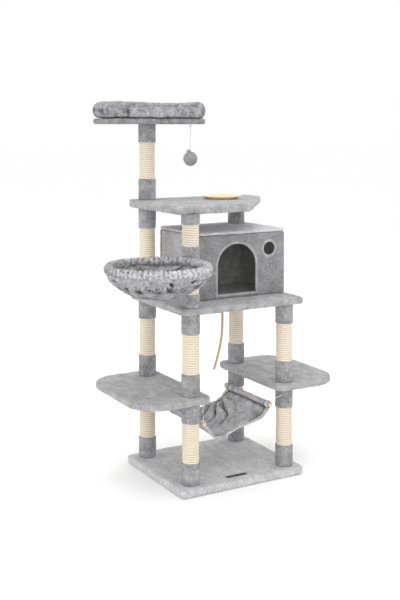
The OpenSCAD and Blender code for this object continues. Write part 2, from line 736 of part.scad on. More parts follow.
base_board();
base_cover();
left_board();
left_cover();
right_board();
right_cover();
main_board();
main_cover();
upper_board();
upper_cover();
perch_board();
perch_cover();
tubes_back_left();
tubes_front_left();
tubes_front_right();
tubes_back_right();
roof_tube();
end_plugs();
joining_studs();
bolts();
sisal(posts_back_left[0]);  // sisal_back_left_1
sisal(posts_back_left[1]);  // sisal_back_left_2
sisal(posts_back_left[2]);  // sisal_back_left_3
sisal(posts_back_left[3]);  // sisal_back_left_4
sisal(posts_front_left[0]);  // sisal_front_left_1
sisal(posts_front_left[1]);  // sisal_front_left_2
sisal(posts_front_left[2]);  // sisal_front_left_3
sisal(posts_front_left[3]);  // sisal_front_left_4
sisal(posts_front_right[0]);  // sisal_front_right_1
sisal(posts_front_right[1]);  // sisal_front_right_2
sisal(posts_back_right[0]);  // sisal_back_right_1
sisal(posts_back_right[1]);  // sisal_back_right_2
cuffs_back_left();
cuffs_front_left();
cuffs_front_right();
cuffs_back_right();
roof_sleeve();
house_front();
house_back();
house_left();
house_right();
house_roof();
door_trim();
window_trim();
basket_ring();
basket_pouch();
hammock_sling();
hammock_rods();
hammock_rings();
hammock_ties();
hammock_eyes();
perch_bolster();
toy_staples();
pompom_ring();
pompom_string();
pompom();
rope_loop();
hanging_rope();
dish();
blank_label();
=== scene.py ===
# %% [markdown]
# # A tall cat tree
# A cat tree is boards and card tubes that carry soft things: plush, sisal rope, a basket,
# a hammock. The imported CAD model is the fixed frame. It says where each piece is, and this
# script makes each visible piece again as cloth, rope, metal or glaze in the same place.

# %% Load the frame
import math
import bpy
import bmesh
import numpy as np
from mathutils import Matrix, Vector


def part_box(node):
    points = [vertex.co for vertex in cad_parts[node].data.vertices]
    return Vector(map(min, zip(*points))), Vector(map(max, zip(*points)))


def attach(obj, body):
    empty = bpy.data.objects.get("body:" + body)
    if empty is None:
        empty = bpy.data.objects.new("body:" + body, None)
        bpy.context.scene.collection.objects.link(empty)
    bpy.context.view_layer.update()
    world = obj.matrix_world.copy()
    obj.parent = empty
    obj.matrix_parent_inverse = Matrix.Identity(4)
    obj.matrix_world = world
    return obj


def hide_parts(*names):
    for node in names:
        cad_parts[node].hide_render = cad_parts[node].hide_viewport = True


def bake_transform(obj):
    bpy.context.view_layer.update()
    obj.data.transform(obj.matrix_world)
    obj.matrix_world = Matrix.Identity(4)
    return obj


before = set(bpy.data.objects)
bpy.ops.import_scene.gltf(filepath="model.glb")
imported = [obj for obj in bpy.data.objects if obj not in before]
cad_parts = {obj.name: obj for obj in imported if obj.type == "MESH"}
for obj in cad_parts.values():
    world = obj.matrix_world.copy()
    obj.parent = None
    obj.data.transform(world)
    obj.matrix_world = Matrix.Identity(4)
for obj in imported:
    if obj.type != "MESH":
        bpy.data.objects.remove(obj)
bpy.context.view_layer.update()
scene = bpy.context.scene

# %% [markdown]
# ## The camera
# The camera stands at the front left, a little over four metres away and 1.5 m up. It looks
# almost level, so the posts stay nearly upright and don't lean towards each other. A shift of
# the lens brings the whole tree into the picture.

# %% Camera
YAW, PITCH = math.radians(30.04), math.radians(1.57)
lens_data = bpy.data.cameras.new("camera")
lens_data.lens, lens_data.sensor_width = 58.3, 36.0
lens_data.shift_x, lens_data.shift_y = -0.006, -0.245
camera = bpy.data.objects.new("camera", lens_data)
scene.collection.objects.link(camera)
camera.location = (-2.1784, -3.6743, 1.5149)
looking = Vector((math.sin(YAW) * math.cos(PITCH), math.cos(YAW) * math.cos(PITCH), -math.sin(PITCH)))
camera.rotation_euler = looking.to_track_quat("-Z", "Y").to_euler()
scene.camera = camera
scene.view_settings.view_transform = "Standard"    # greys come out as they were chosen
print("camera at", tuple(round(v, 3) for v in camera.location))

# %% [markdown]
# ## Small helpers
# A mesh is a list of points and a list of faces. `make` turns the two into an object whose
# place is in its points. `settle` turns live modifiers into plain mesh. `between_rows` gives
# the faces between closed rows of points, which makes ropes, edgings and bowls, and `lathe`
# turns an outline about an upright axis. `stand_in` says what a finished piece belongs to.

# %% Mesh helpers
def make(name, points, faces, material=None, smooth=True):
    mesh = bpy.data.meshes.new(name)
    mesh.from_pydata([tuple(map(float, p)) for p in points], [], [tuple(map(int, f)) for f in faces])
    mesh.update()
    obj = bpy.data.objects.new(name, mesh)
    scene.collection.objects.link(obj)
    if material:
        mesh.materials.append(material)
    mesh.polygons.foreach_set("use_smooth", [smooth] * len(mesh.polygons))
    return obj


def settle(obj):
    held = obj.evaluated_get(bpy.context.evaluated_depsgraph_get())
    mesh = bpy.data.meshes.new_from_object(held)
    old, obj.data = obj.data, mesh
    obj.modifiers.clear()
    if not mesh.materials:
        for m in old.materials:
            mesh.materials.append(m)
    mesh.polygons.foreach_set("use_smooth", [True] * len(mesh.polygons))
    return obj


def read(numbers, what):
    """All the vectors of one kind on a mesh, a row for each."""
    rows = np.empty(len(numbers) * 3)
    numbers.foreach_get(what, rows)
    return rows.reshape(-1, 3)


def get_points(obj):
    return read(obj.data.vertices, "co")


def set_points(obj, co):
    obj.data.vertices.foreach_set("co", np.ascontiguousarray(co, np.float32).ravel())
    obj.data.update()


def get_normals(obj):
    return read(obj.data.vertex_normals, "vector")


def outwards(obj):
    bm = bmesh.new()
    bm.from_mesh(obj.data)
    bmesh.ops.remove_doubles(bm, verts=bm.verts, dist=1e-6)
    bmesh.ops.recalc_face_normals(bm, faces=bm.faces)
    bm.to_mesh(obj.data)
    bm.free()
    return obj


def store(obj, name, values):
    """Writes one number for each point onto the mesh, for a finish to read."""
    numbers = np.ascontiguousarray(values, np.float32).ravel()
    obj.data.attributes.new(name, "FLOAT", "POINT").data.foreach_set("value", numbers)
    return obj


def bell(x, width):
    """1 where x is 0, falling to nothing on both sides."""
    return np.exp(-(x / width) ** 2)


def apart(angle, other):
    """How far one angle is from another, the short way round."""
    return np.angle(np.exp(1j * (angle - other)))


def ripple(co, size, seed):
    """A smooth random height from -1 to 1 at each point, with lumps about this size."""
    WAVES, EVENED = 14, 1.6
    rng = np.random.default_rng(seed)
    total = np.zeros(len(co))
    for _ in range(WAVES):
        way = rng.normal(size=3)
        way /= np.linalg.norm(way)
        total += np.sin(co @ way * (2 * np.pi / (size * rng.uniform(0.7, 1.5))) + rng.uniform(0, 6.28))
    return total / math.sqrt(WAVES / 2) / EVENED


def rubbed(obj, amounts, seed):
    """Moves each point along its normal by lumps: amounts are (height, size) in metres."""
    co, no = get_points(obj), get_normals(obj)
    for k, (height, size) in enumerate(amounts):
        co = co + no * (height * ripple(co, size, seed + 17 * k))[:, None]
    set_points(obj, co)
    return obj


def soften(obj, voxel, passes, amounts, seed):
    """Remeshes a hard shape evenly, rounds it and gives it the unevenness of plush."""
    m = obj.modifiers.new("even", "REMESH")
    m.mode, m.voxel_size, m.use_smooth_shade = "VOXEL", voxel, True
    s = obj.modifiers.new("round", "SMOOTH")
    s.factor, s.iterations = 0.5, passes
    settle(obj)
    return rubbed(obj, amounts, seed)


def between_rows(rows, count, closed=False):
    """Faces between neighbouring rows of count points, and from the last row to the first if closed."""
    return [(i * count + k, i * count + (k + 1) % count,
             (i + 1) % rows * count + (k + 1) % count, (i + 1) % rows * count + k)
            for i in range(rows if closed else rows - 1) for k in range(count)]


def lathe(profile, centre, steps):
    """Points and faces of a closed (radius, height) outline turned about an upright axis."""
    profile = np.array(profile, float)
    m = len(profile)
    a = np.arange(steps) * 2 * np.pi / steps
    x = profile[None, :, 0] * np.cos(a)[:, None] + centre[0]
    y = profile[None, :, 0] * np.sin(a)[:, None] + centre[1]
    z = np.broadcast_to(profile[:, 1], x.shape)
    faces = [(i * m + k, ((i + 1) % steps) * m + k, ((i + 1) % steps) * m + (k + 1) % m, i * m + (k + 1) % m)
             for i in range(steps) for k in range(m)]
    return np.stack([x, y, z], -1).reshape(-1, 3), faces


def together(name, parts, material):
    points, faces, start = [], [], 0
    for p, f in parts:
        points.append(p)
        faces += [tuple(i + start for i in q) for q in f]
        start += len(p)
    return outwards(make(name, np.concatenate(points), faces, material))


def axis_of(node):
    """The middle of a CAD node's box seen from above: the axis of a round piece."""
    low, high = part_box(node)
    return (low.x + high.x) / 2, (low.y + high.y) / 2


def stand_in(piece, body, node):
    """The piece rides on a body and takes the place of a CAD node."""
    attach(piece, body)
    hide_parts(node)


print("helpers ready")

# %% [markdown]
# ## Finishes
# Plush is a knitted cloth with short upright hairs. It shows three things at once: wide
# patches where the pile is brushed one way, small tufts, and a pale glow at grazing angles.
# Two noises of different size colour it, a third one lifts it, and the shader's sheen gives
# the glow. All patterns read Object coordinates, so they stay on the piece when it moves.

# %% Colour helper and node helpers
def tone(rgb):
    """A colour written from 0 to 255 as on a paint chart, turned into light."""
    return tuple(v / 255 / 12.92 if v <= 10 else ((v / 255 + 0.055) / 1.055) ** 2.4 for v in rgb) + (1.0,)


def even(factor):
    """A grey that darkens or lightens a colour by this factor."""
    return (factor, factor, factor, 1.0)


def add_node(tree, kind, inputs=None, **settings):
    """Adds a node. An input given as a socket is linked, any other value is written on it."""
    node = tree.nodes.new(kind)
    for key, value in settings.items():
        setattr(node, key, value)
    for key, value in (inputs or {}).items():
        if isinstance(value, bpy.types.NodeSocket):
            tree.links.new(value, node.inputs[key])
        else:
            node.inputs[key].default_value = value
    return node


def blank(name, **sockets):
    m = bpy.data.materials.new(name)
    m.use_nodes = True
    shader = m.node_tree.nodes["Principled BSDF"]
    for key, value in sockets.items():
        shader.inputs[key.replace("_", " ")].default_value = value
    return m, m.node_tree, shader


def object_place(tree):
    return add_node(tree, "ShaderNodeTexCoord").outputs["Object"]


def from_mesh(tree, name):
    """A number that the mesh carries at each point."""
    return add_node(tree, "ShaderNodeAttribute", attribute_name=name).outputs["Fac"]


def noise(tree, source, scale, detail, rough, squeeze=None):
    if squeeze:
        source = add_node(tree, "ShaderNodeMapping", {"Scale": squeeze, "Vector": source}).outputs["Vector"]
    given = {"Scale": scale, "Detail": detail, "Roughness": rough, "Vector": source}
    return add_node(tree, "ShaderNodeTexNoise", given).outputs["Fac"]


def ramp(tree, fac, stops):
    r = add_node(tree, "ShaderNodeValToRGB", {"Fac": fac})
    while len(r.color_ramp.elements) < len(stops):
        r.color_ramp.elements.new(0.5)
    for e, (at, colour) in zip(r.color_ramp.elements, stops):
        e.position, e.color = at, colour
    return r.outputs["Color"]


def times(tree, a, b):
    """One colour multiplied by another."""
    return add_node(tree, "ShaderNodeMix", {"Factor": 1.0, "A": a, "B": b},
                    data_type="RGBA", blend_type="MULTIPLY").outputs["Result"]


def number(tree, kind, *values):
    return add_node(tree, "ShaderNodeMath", dict(enumerate(values)), operation=kind).outputs[0]


def sums(tree, parts):
    """Adds several heights, each times its own weight."""
    total = 0.0
    for out, weight in parts:
        total = number(tree, "MULTIPLY_ADD", out, weight, total)
    return total


def lift(tree, shader, height, distance):
    bump = add_node(tree, "ShaderNodeBump", {"Strength": 1.0, "Distance": distance, "Height": height})
    tree.links.new(bump.outputs["Normal"], shader.inputs["Normal"])


print("node helpers ready")

# %% Plush in its several greys
def plush(name, light, deep, patch=28, tuft=150, depth=0.0022, folds=None):
    """patch and tuft are noise scales. folds is how dark the painted shade at the bottom of a fold gets."""
    HAIR_SCALE = 700
    m, tree, shader = blank(name, Roughness=0.95, Sheen_Weight=0.2, Sheen_Roughness=0.5,
                            Specular_IOR_Level=0.15)
    where = object_place(tree)
    wide = noise(tree, where, patch, 3, 0.65, (1, 0.55, 1))
    small = noise(tree, where, tuft, 3, 0.7)
    hair = noise(tree, where, HAIR_SCALE, 2, 0.7, (1, 1, 0.45))
    colour = ramp(tree, wide, [(0.36, tone(deep)), (0.64, tone(light))])
    colour = times(tree, colour, ramp(tree, small, [(0.36, even(0.70)), (0.52, even(1.0)), (0.66, even(1.16))]))
    colour = times(tree, colour, ramp(tree, hair, [(0.3, even(0.8)), (0.7, even(1.1))]))
    # painted light and shade: the mesh's fold number darkens hollows and lightens ridges
    if folds is not None:
        fold = from_mesh(tree, "fold")
        depth_of_fold = [(0.0, even(folds)), (0.5, even(0.94)), (1.0, even(1.12))]
        colour = times(tree, colour, ramp(tree, fold, depth_of_fold))
    tree.links.new(colour, shader.inputs["Base Color"])
    lift(tree, shader, sums(tree, [(small, 1.0), (hair, 0.55)]), depth)
    return m


platform_plush = plush("platform plush", (188, 187, 188), (160, 159, 160))
# painted light: the base's cover is the platforms' plush, given a lighter copy
base_plush_painted_lighter = plush("base plush", (216, 215, 216), (192, 191, 192))
# painted shade: the perch's cover is the platforms' plush, given a darker copy
perch_plush_painted_darker = plush("perch plush", (156, 155, 157), (124, 123, 125), patch=34)
# painted shade: the cuffs are the platforms' plush, given a darker copy
cuff_plush_painted_darker = plush("cuff plush", (176, 176, 179), (138, 138, 141), patch=22)
house_plush = plush("house plush", (158, 157, 159), (138, 137, 139))
# painted light: the house's left wall and roof are the house plush, given lighter copies
side_plush_painted_lighter = plush("house side plush", (194, 193, 195), (174, 173, 175))
roof_plush_painted_lighter = plush("roof plush", (216, 215, 217), (196, 195, 197))
# painted light: the inside faces take a copy of the house plush, lighter than the front's
inside_plush_painted_light = plush("house inside plush painted light", (182, 181, 180), (162, 161, 160))
trim_plush = plush("edging plush", (186, 186, 188), (158, 158, 160), tuft=220)
bolster_plush = plush("bolster plush", (184, 184, 186), (140, 140, 142),
                      patch=34, tuft=110, depth=0.004, folds=0.14)
# painted light: the hammock is the platforms' plush, given a lighter copy
sling_plush_painted_lighter = plush("sling plush", (210, 209, 211), (176, 175, 177), patch=36, folds=0.25)
pouch_plush = plush("pouch plush", (184, 183, 185), (148, 147, 149),
                    patch=34, tuft=130, depth=0.003, folds=0.12)
rim_plush = plush("basket rim plush", (240, 239, 241), (206, 205, 207),
                  patch=40, tuft=110, depth=0.004, folds=0.34)
ball_pile = plush("pompom pile", (252, 251, 253), (214, 213, 215), patch=60, tuft=200)
print("plush greys:", len(bpy.data.materials))

# %% [markdown]
# Sisal is a pale, dry leaf fibre twisted into rope. Its fibres run along the rope at a slant,
# so a wave along the rope's own length and round its girth draws them. The winding tree below
# stores both as attributes on the mesh, because Object coordinates can't follow a helix.

# %% Sisal, cord, metal, wood, glaze
def sisal(name, light, deep, groove=1.0):
    """groove is how dark the painted shade in the gap between two turns of the rope gets."""
    STRANDS, LAY, ONCE_ROUND = 3.0, 0.028, 2 * math.pi
    m, tree, shader = blank(name, Roughness=0.9, Specular_IOR_Level=0.2, Sheen_Weight=0.1)
    where, along, around = object_place(tree), from_mesh(tree, "along"), from_mesh(tree, "around")
    strands = number(tree, "MULTIPLY", around, ONCE_ROUND * STRANDS)
    wave = number(tree, "SINE", number(tree, "MULTIPLY_ADD", along, ONCE_ROUND / LAY, strands))
    flank = number(tree, "ABSOLUTE", number(tree, "SINE", number(tree, "MULTIPLY", around, ONCE_ROUND)))
    fibre = noise(tree, where, 70, 3, 0.6, (1, 1, 8))
    patch = noise(tree, where, 22, 2, 0.6)
    base = ramp(tree, sums(tree, [(fibre, 0.75), (patch, 0.25)]), [(0.3, tone(deep)), (0.68, tone(light))])
    twist = ramp(tree, wave, [(0.0, (0.95, 0.94, 0.92, 1)), (0.45, even(1))])
    # painted shade: each turn's flanks, where it meets the next turn, are darkened
    gap = ramp(tree, flank, [(0.45, even(1)), (1.0, (groove, groove * 0.95, groove * 0.86, 1))])
    tree.links.new(times(tree, times(tree, base, twist), gap), shader.inputs["Base Color"])
    lift(tree, shader, sums(tree, [(wave, 0.25), (fibre, 0.5)]), 0.0006)
    return m


def plain(name, light, deep, scale, rough, depth=0.0, squeeze=None, **sockets):
    """A smooth finish whose grain is a noise of this scale. depth lifts the grain."""
    m, tree, shader = blank(name, Roughness=rough, **sockets)
    grain = noise(tree, object_place(tree), scale, 4, 0.65, squeeze)
    tree.links.new(ramp(tree, grain, [(0.3, tone(deep)), (0.7, tone(light))]), shader.inputs["Base Color"])
    if depth:
        lift(tree, shader, grain, depth)
    return m


sisal_rope = sisal("sisal rope", (246, 238, 224), (224, 212, 192), groove=0.78)
hanging_sisal = sisal("hanging rope fibre", (226, 204, 172), (190, 160, 126))
tie_cord = plain("white cord", (244, 243, 240), (214, 212, 206), 900, 0.8, 0.0006, (1, 1, 0.4))
string_cord = plain("grey string", (206, 205, 205), (170, 169, 169), 900, 0.8, 0.0005, (1, 1, 0.4))
steel = plain("zinc steel", (190, 192, 196), (160, 162, 168), 120, 0.35, Metallic=1.0)
dark_steel = plain("dark coated steel", (58, 58, 60), (42, 42, 44), 300, 0.5, 0.0002)
brass = plain("brass", (250, 232, 200), (226, 196, 148), 90, 0.3, Metallic=1.0)
dowel = plain("turned dowel", (236, 218, 190), (206, 182, 148), 60, 0.55, 0.0003, (1, 0.08, 1))
board_wood = plain("particle board", (206, 176, 132), (168, 136, 94), 240, 0.85, 0.0006)
card = plain("wound card", (188, 162, 124), (164, 136, 100), 80, 0.9, 0.0003, (1, 1, 4))
plug_plastic = plain("plug plastic", (52, 52, 54), (40, 40, 42), 400, 0.5, 0.0001)
glaze = plain("cream glaze", (246, 226, 184), (238, 214, 168), 30, 0.12, Coat_Weight=0.8, Coat_Roughness=0.05)
label_film = plain("label film", (44, 46, 50), (34, 36, 40), 500, 0.45, 0.0001)
print("all finishes:", len(bpy.data.materials))

# %% [markdown]
# ## The ropes and cords
# The toy rope is three strands laid round each other. A strand is a tube that follows a
# helix round the rope's middle line, which is exact and light, so it is made by hand. It
# hangs from a loop under the main platform and bends a little, as stiff sisal does.

# %% Cord helper
def even_path(points, step):
    """Points the same distance apart on a smooth curve through the given ones."""
    FINE, PASSES = 400, 60
    p = np.array(points, float)
    t = np.concatenate([[0], np.cumsum(np.linalg.norm(np.diff(p, axis=0), axis=1))])
    fine = np.linspace(0, t[-1], FINE)
    curve = np.stack([np.interp(fine, t, p[:, k]) for k in range(3)], -1)
    if len(p) > 2:
        for _ in range(PASSES):
            curve[1:-1] = (curve[:-2] + 2 * curve[1:-1] + curve[2:]) / 4
    s = np.concatenate([[0], np.cumsum(np.linalg.norm(np.diff(curve, axis=0), axis=1))])
    want = np.linspace(0, s[-1], max(2, int(s[-1] / step) + 1))
    return np.stack([np.interp(want, s, curve[:, k]) for k in range(3)], -1), s[-1]


def laid_rope(name, points, diameter, strands, lay, material, step):
    """Strands twisted round a path. Each carries its own length and girth for the finish."""
    path, length = even_path(points, step)
    strand = diameter / 2 / (1 + 1 / math.sin(math.pi / strands)) if strands > 2 else diameter / 4
    off = diameter / 2 - strand
    along = np.gradient(path, axis=0)
    along /= np.linalg.norm(along, axis=1)[:, None]
    side = np.cross(along, (0, 1, 0.01))
    side /= np.linalg.norm(side, axis=1)[:, None]
    over = np.cross(side, along)
    parts, SIDES, OVERLAP = [], 8, 1.04
    far = np.arange(len(path)) * step
    for k in range(strands):
        a = 2 * np.pi * (k / strands + far / lay)
        middle = path + off * (np.cos(a)[:, None] * side + np.sin(a)[:, None] * over)
        b = np.arange(SIDES) * 2 * np.pi / SIDES
        round_it = np.cos(b)[None, :, None] * side[:, None] + np.sin(b)[None, :, None] * over[:, None]
        pts = (middle[:, None] + strand * OVERLAP * round_it).reshape(-1, 3)
        last = (len(path) - 1) * SIDES
        faces = between_rows(len(path), SIDES)
        faces += [tuple(range(SIDES)), tuple(last + q for q in range(SIDES - 1, -1, -1))]
        parts.append((pts, faces))
    return together(name, parts, material), path, length


print("cord helper ready")

# %% The hanging rope
ROPE_D = 0.012
rope_points = [(.043, 0, .724), (.043, 0, .690), (.043, 0, .655), (.042, 0, .620), (.039, 0, .585),
               (.032, 0, .545), (.022, 0, .510), (.011, 0, .475), (-.001, 0, .440)]
toy_rope, toy_path, toy_length = laid_rope("toy_rope", rope_points, ROPE_D, 3, 0.034, hanging_sisal, 0.003)
stand_in(toy_rope, "rope", "hanging_rope")
print("toy rope", round(toy_length, 3), "m,", len(toy_rope.data.polygons), "faces")

# %% [markdown]
# The pompom hangs on a thin braided string. The hammock's rods hang on four short white
# cords. Each is tied to a screw eye under a side platform and ends at a brass ring.

# %% Pompom string
string_low, string_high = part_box("pompom_string")
sx, sy = axis_of("pompom_string")
string_middle = (string_high.z + string_low.z) / 2
string_path = [(sx, sy, z) for z in (string_high.z - 0.002, string_middle, string_low.z)]
STRING_D = 0.0024
string, string_line, string_length = laid_rope("pompom_line", string_path, STRING_D, 2, 0.007,
                                               string_cord, 0.0014)
stand_in(string, "pompom", "pompom_string")
print("string", round(string_length, 3), "m")

# %% Hammock cords
TIE_D = 0.003
TIES = {                             # each from its screw eye down to its ring
    "left_front": ((-.172, -.195, .3584), (-.159, -.182, .284)),
    "left_back": ((-.172, .195, .3584), (-.159, .182, .284)),
    "right_front": ((.203, -.242, .3584), (.174, -.182, .319)),
    "right_back": ((.203, .242, .3584), (.174, .182, .319))}
for place, (top, foot) in TIES.items():
    tie, line, tie_length = laid_rope("tie_" + place, (top, foot), TIE_D, 2, 0.009, tie_cord, 0.0015)
    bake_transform(tie)
    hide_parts("hammock_ties")
    print("tie", place, round(tie_length, 4), "m")

# %% [markdown]
# ## Boards in plush
# Each platform is a board with plush stretched over it and stapled underneath. The cloth
# rounds every edge by a few millimetres. A rounded outline is stacked in rings, then remeshed
# evenly and smoothed, which leaves a soft rim and a slightly uneven face.

# %% Outlines
def corner_arcs(corners, radii, inset=0.0, steps=9):
    """Anticlockwise outline with each corner rounded, moved inwards by inset."""
    p = [np.array(c, float) for c in corners]
    out = []
    for i, c in enumerate(p):
        u = c - p[i - 1]
        v = p[(i + 1) % len(p)] - c
        u, v = u / np.linalg.norm(u), v / np.linalg.norm(v)
        turn = math.acos(max(-1, min(1, float(u @ v))))
        r = radii[i]
        start = c - u * r * math.tan(turn / 2)
        centre = start + np.array((-u[1], u[0])) * r
        a0 = math.atan2(-u[0], u[1])
        for k in range(steps + 1):
            a = a0 + turn * k / steps
            out.append(centre + max(r - inset, 0.0005) * np.array((math.cos(a), math.sin(a))))
    return np.array(out)


def slab(name, corners, radii, z0, z1, edge, material, axes=(0, 1, 2)):
    """A closed slab with rounded edges. axes says where outline x, outline y and height go."""
    rings, steps = [], 6
    for top in (False, True):
        for k in range(steps + 1):
            a = math.radians(90 * k / steps)
            inset = edge * (1 - math.sin(a)) if not top else edge * (1 - math.cos(a))
            z = z0 + edge * (1 - math.cos(a)) if not top else z1 - edge * (1 - math.sin(a))
            flat = corner_arcs(corners, radii, inset)
            ring3 = np.zeros((len(flat), 3))
            ring3[:, axes[0]], ring3[:, axes[1]], ring3[:, axes[2]] = flat[:, 0], flat[:, 1], z
            rings.append(ring3)
    m = len(rings[0])
    faces = between_rows(len(rings), m)
    faces += [tuple(range(m - 1, -1, -1)), tuple(range((len(rings) - 1) * m, len(rings) * m))]
    return outwards(make(name, np.concatenate(rings), faces, material))


def rectangle(low, high, axes=(0, 1)):
    a, b = axes
    return [(low[a], low[b]), (high[a], low[b]), (high[a], high[b]), (low[a], high[b])]


def grown(corners, by):
    """The same corners with every side moved outwards."""
    p = [np.array(c, float) for c in corners]
    out = []
    for i, c in enumerate(p):
        u, v = c - p[i - 1], p[(i + 1) % len(p)] - c
        u, v = u / np.linalg.norm(u), v / np.linalg.norm(v)
        nu, nv = np.array((u[1], -u[0])), np.array((v[1], -v[0]))
        out.append(c + (nu + nv) * by / (1 + float(nu @ nv)))
    return out


PROUD = 0.003                        # the pile stands this far out from a board's sides
print("outline helpers ready")

# %% The six covered boards
PLUSH_EDGE, EDGE_SHARE = 0.0078, 0.36   # how round a cover's edge is, at most this share of its height
BOARD_LUMPS = ((0.0005, 0.06), (0.0004, 0.016))   # (height, size) of the plush's unevenness
FLOOR_GAP = 0.0002
SEAT_SHARE = 0.4                     # the perch's cover is stretched tighter than the others
OUTER_R, INNER_R = 0.125, 0.036      # corner radii of the side platforms
covers = {"base": (0.014,) * 4, "left": (OUTER_R, INNER_R, INNER_R, OUTER_R),
          "right": (INNER_R, OUTER_R, OUTER_R, INNER_R), "main": (0.022,) * 4, "perch": (0.055,) * 4}
CUT_X, CUT_Y = 0.283, 0.356          # what the cut corner takes off the upper platform
low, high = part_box("upper_cover")
upper_corners = [(low.x, low.y), (high.x - CUT_X, low.y), (high.x, low.y + CUT_Y), (high.x, high.y),
                 (low.x, high.y)]
finished = {}
for place, radii in list(covers.items()) + [("upper", (0.020, 0.040, 0.040, 0.020, 0.020))]:
    low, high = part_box(place + "_cover")
    corners = upper_corners if place == "upper" else rectangle(low, high)
    edge = min(PLUSH_EDGE, (high.z - low.z) * EDGE_SHARE)
    proud = PROUD * (SEAT_SHARE if place == "perch" else 1)
    # the base takes a lighter and the perch a darker copy of the platform plush: painted light and painted
    # shade
    piece = slab(place + "_plush", grown(corners, proud), [r + proud for r in radii], low.z, high.z, edge,
                 {"base": base_plush_painted_lighter, "perch": perch_plush_painted_darker}.get(place, platform_plush))
    soften(piece, voxel=0.0052, passes=2, amounts=BOARD_LUMPS, seed=len(finished) + 3)
    if place == "base":              # the underside stands flat on the floor
        co = get_points(piece)
        co[:, 2] = np.maximum(co[:, 2], FLOOR_GAP)
        set_points(piece, co)
    finished[place] = piece
    print(piece.name, len(piece.data.polygons), "faces")

# %% [markdown]
# The bolts that hold the lower posts come up through the base. Their heads lie in round
# recesses, so the cover has four holes in its underside. A boolean cut makes them.

# %% Bolt recesses in the base
RECESS_R, RECESS_DEPTH = 0.010, 0.0085
COLUMNS = ("back_left", "front_left", "front_right", "back_right")
recess = [(0, -0.01), (RECESS_R, -0.01), (RECESS_R, RECESS_DEPTH), (0, RECESS_DEPTH)]
cutters = [lathe(recess, axis_of(f"sisal_{place}_1"), 32) for place in COLUMNS]
cutter = together("recess_cutter", cutters, None)
cut = finished["base"].modifiers.new("recesses", "BOOLEAN")
cut.object, cut.operation, cut.solver = cutter, "DIFFERENCE", "EXACT"
settle(finished["base"])
bpy.data.objects.remove(cutter)
for place, piece in finished.items():
    stand_in(piece, "tree", place + "_cover")
print("base now", len(finished["base"].data.polygons), "faces")

# %% [markdown]
# ## Posts wound with sisal
# A winding is one rope laid round a tube, turn above turn. That is a rule, so Geometry Nodes
# make it: a spiral curve, an oval outline run along it, and the two attributes that the sisal
# finish reads. The same tree serves every post with its own height.

# %% The winding tree
def new_tree(name, numbers, others):
    """A node tree with geometry in and out, and named inputs: numbers with a start value, others."""
    tree = bpy.data.node_groups.new(name, "GeometryNodeTree")
    kinds = {"Geometry": "Geometry", **{key: "Float" for key in numbers}, **others}
    for key, kind in kinds.items():
        socket = tree.interface.new_socket(key, in_out="INPUT", socket_type="NodeSocket" + kind)
        if key in numbers:
            socket.default_value = numbers[key]
    tree.interface.new_socket("Geometry", in_out="OUTPUT", socket_type="NodeSocketGeometry")
    return tree, tree.nodes.new("NodeGroupInput").outputs


def close_tree(tree, geometry, finish):
    """Ends a tree as real mesh in one finish."""
    real = add_node(tree, "GeometryNodeRealizeInstances", {"Geometry": geometry})
    done = add_node(tree, "GeometryNodeSetMaterial", {"Geometry": real.outputs["Geometry"], "Material": finish})
    add_node(tree, "NodeGroupOutput", {"Geometry": done.outputs["Geometry"]})
    return tree


def write_number(tree, name, geometry, value):
    """Stores a number at each point of the geometry under this name."""
    given = {"Name": name, "Geometry": geometry, "Value": value}
    return add_node(tree, "GeometryNodeStoreNamedAttribute", given,
                    data_type="FLOAT", domain="POINT").outputs["Geometry"]


def winding_tree():
    tree, given = new_tree("rope winding", {"Turns": 30.0, "Radius": 0.03, "Height": 0.3,
                                            "Rope Width": 0.01, "Rope Depth": 0.006},
                           {"Place": "Vector", "Finish": "Material"})
    spiral = add_node(tree, "GeometryNodeCurveSpiral", {
        "Resolution": 40, "Rotations": given["Turns"], "Start Radius": given["Radius"],
        "End Radius": given["Radius"], "Height": given["Height"]}).outputs["Curve"]
    length = add_node(tree, "GeometryNodeSplineParameter").outputs["Length"]
    along = write_number(tree, "along", spiral, length)
    upright = add_node(tree, "GeometryNodeSetCurveNormal", {"Curve": along}, mode="Z_UP").outputs["Curve"]
    outline = add_node(tree, "GeometryNodeCurvePrimitiveCircle", {"Resolution": 10, "Radius": 0.5})
    size = add_node(tree, "ShaderNodeCombineXYZ", {
        "X": given["Rope Depth"], "Y": given["Rope Width"], "Z": 1.0})
    oval = add_node(tree, "GeometryNodeTransform", {
        "Geometry": outline.outputs["Curve"], "Scale": size.outputs["Vector"]})
    girth = add_node(tree, "GeometryNodeSplineParameter").outputs["Factor"]
    around = write_number(tree, "around", oval.outputs["Geometry"], girth)
    tube = add_node(tree, "GeometryNodeCurveToMesh", {
        "Fill Caps": True, "Curve": upright, "Profile Curve": around})
    placed = add_node(tree, "GeometryNodeTransform", {
        "Geometry": tube.outputs["Mesh"], "Translation": given["Place"]})
    return close_tree(tree, placed.outputs["Geometry"], given["Finish"])


def run_tree(obj, tree, **values):
    """Puts a node tree on a piece, sets its inputs by identifier and keeps the result as mesh."""
    m = obj.modifiers.new(tree.name, "NODES")
    m.node_group = tree
    ids = {s.name: s.identifier for s in tree.interface.items_tree
           if s.item_type == "SOCKET" and s.in_out == "INPUT"}
    for key, value in values.items():
        m[ids[key.replace("_", " ")]] = value
    obj.update_tag()
    bpy.context.view_layer.update()
    return settle(obj)


winding = winding_tree()
print("winding tree has", len(winding.nodes), "nodes")

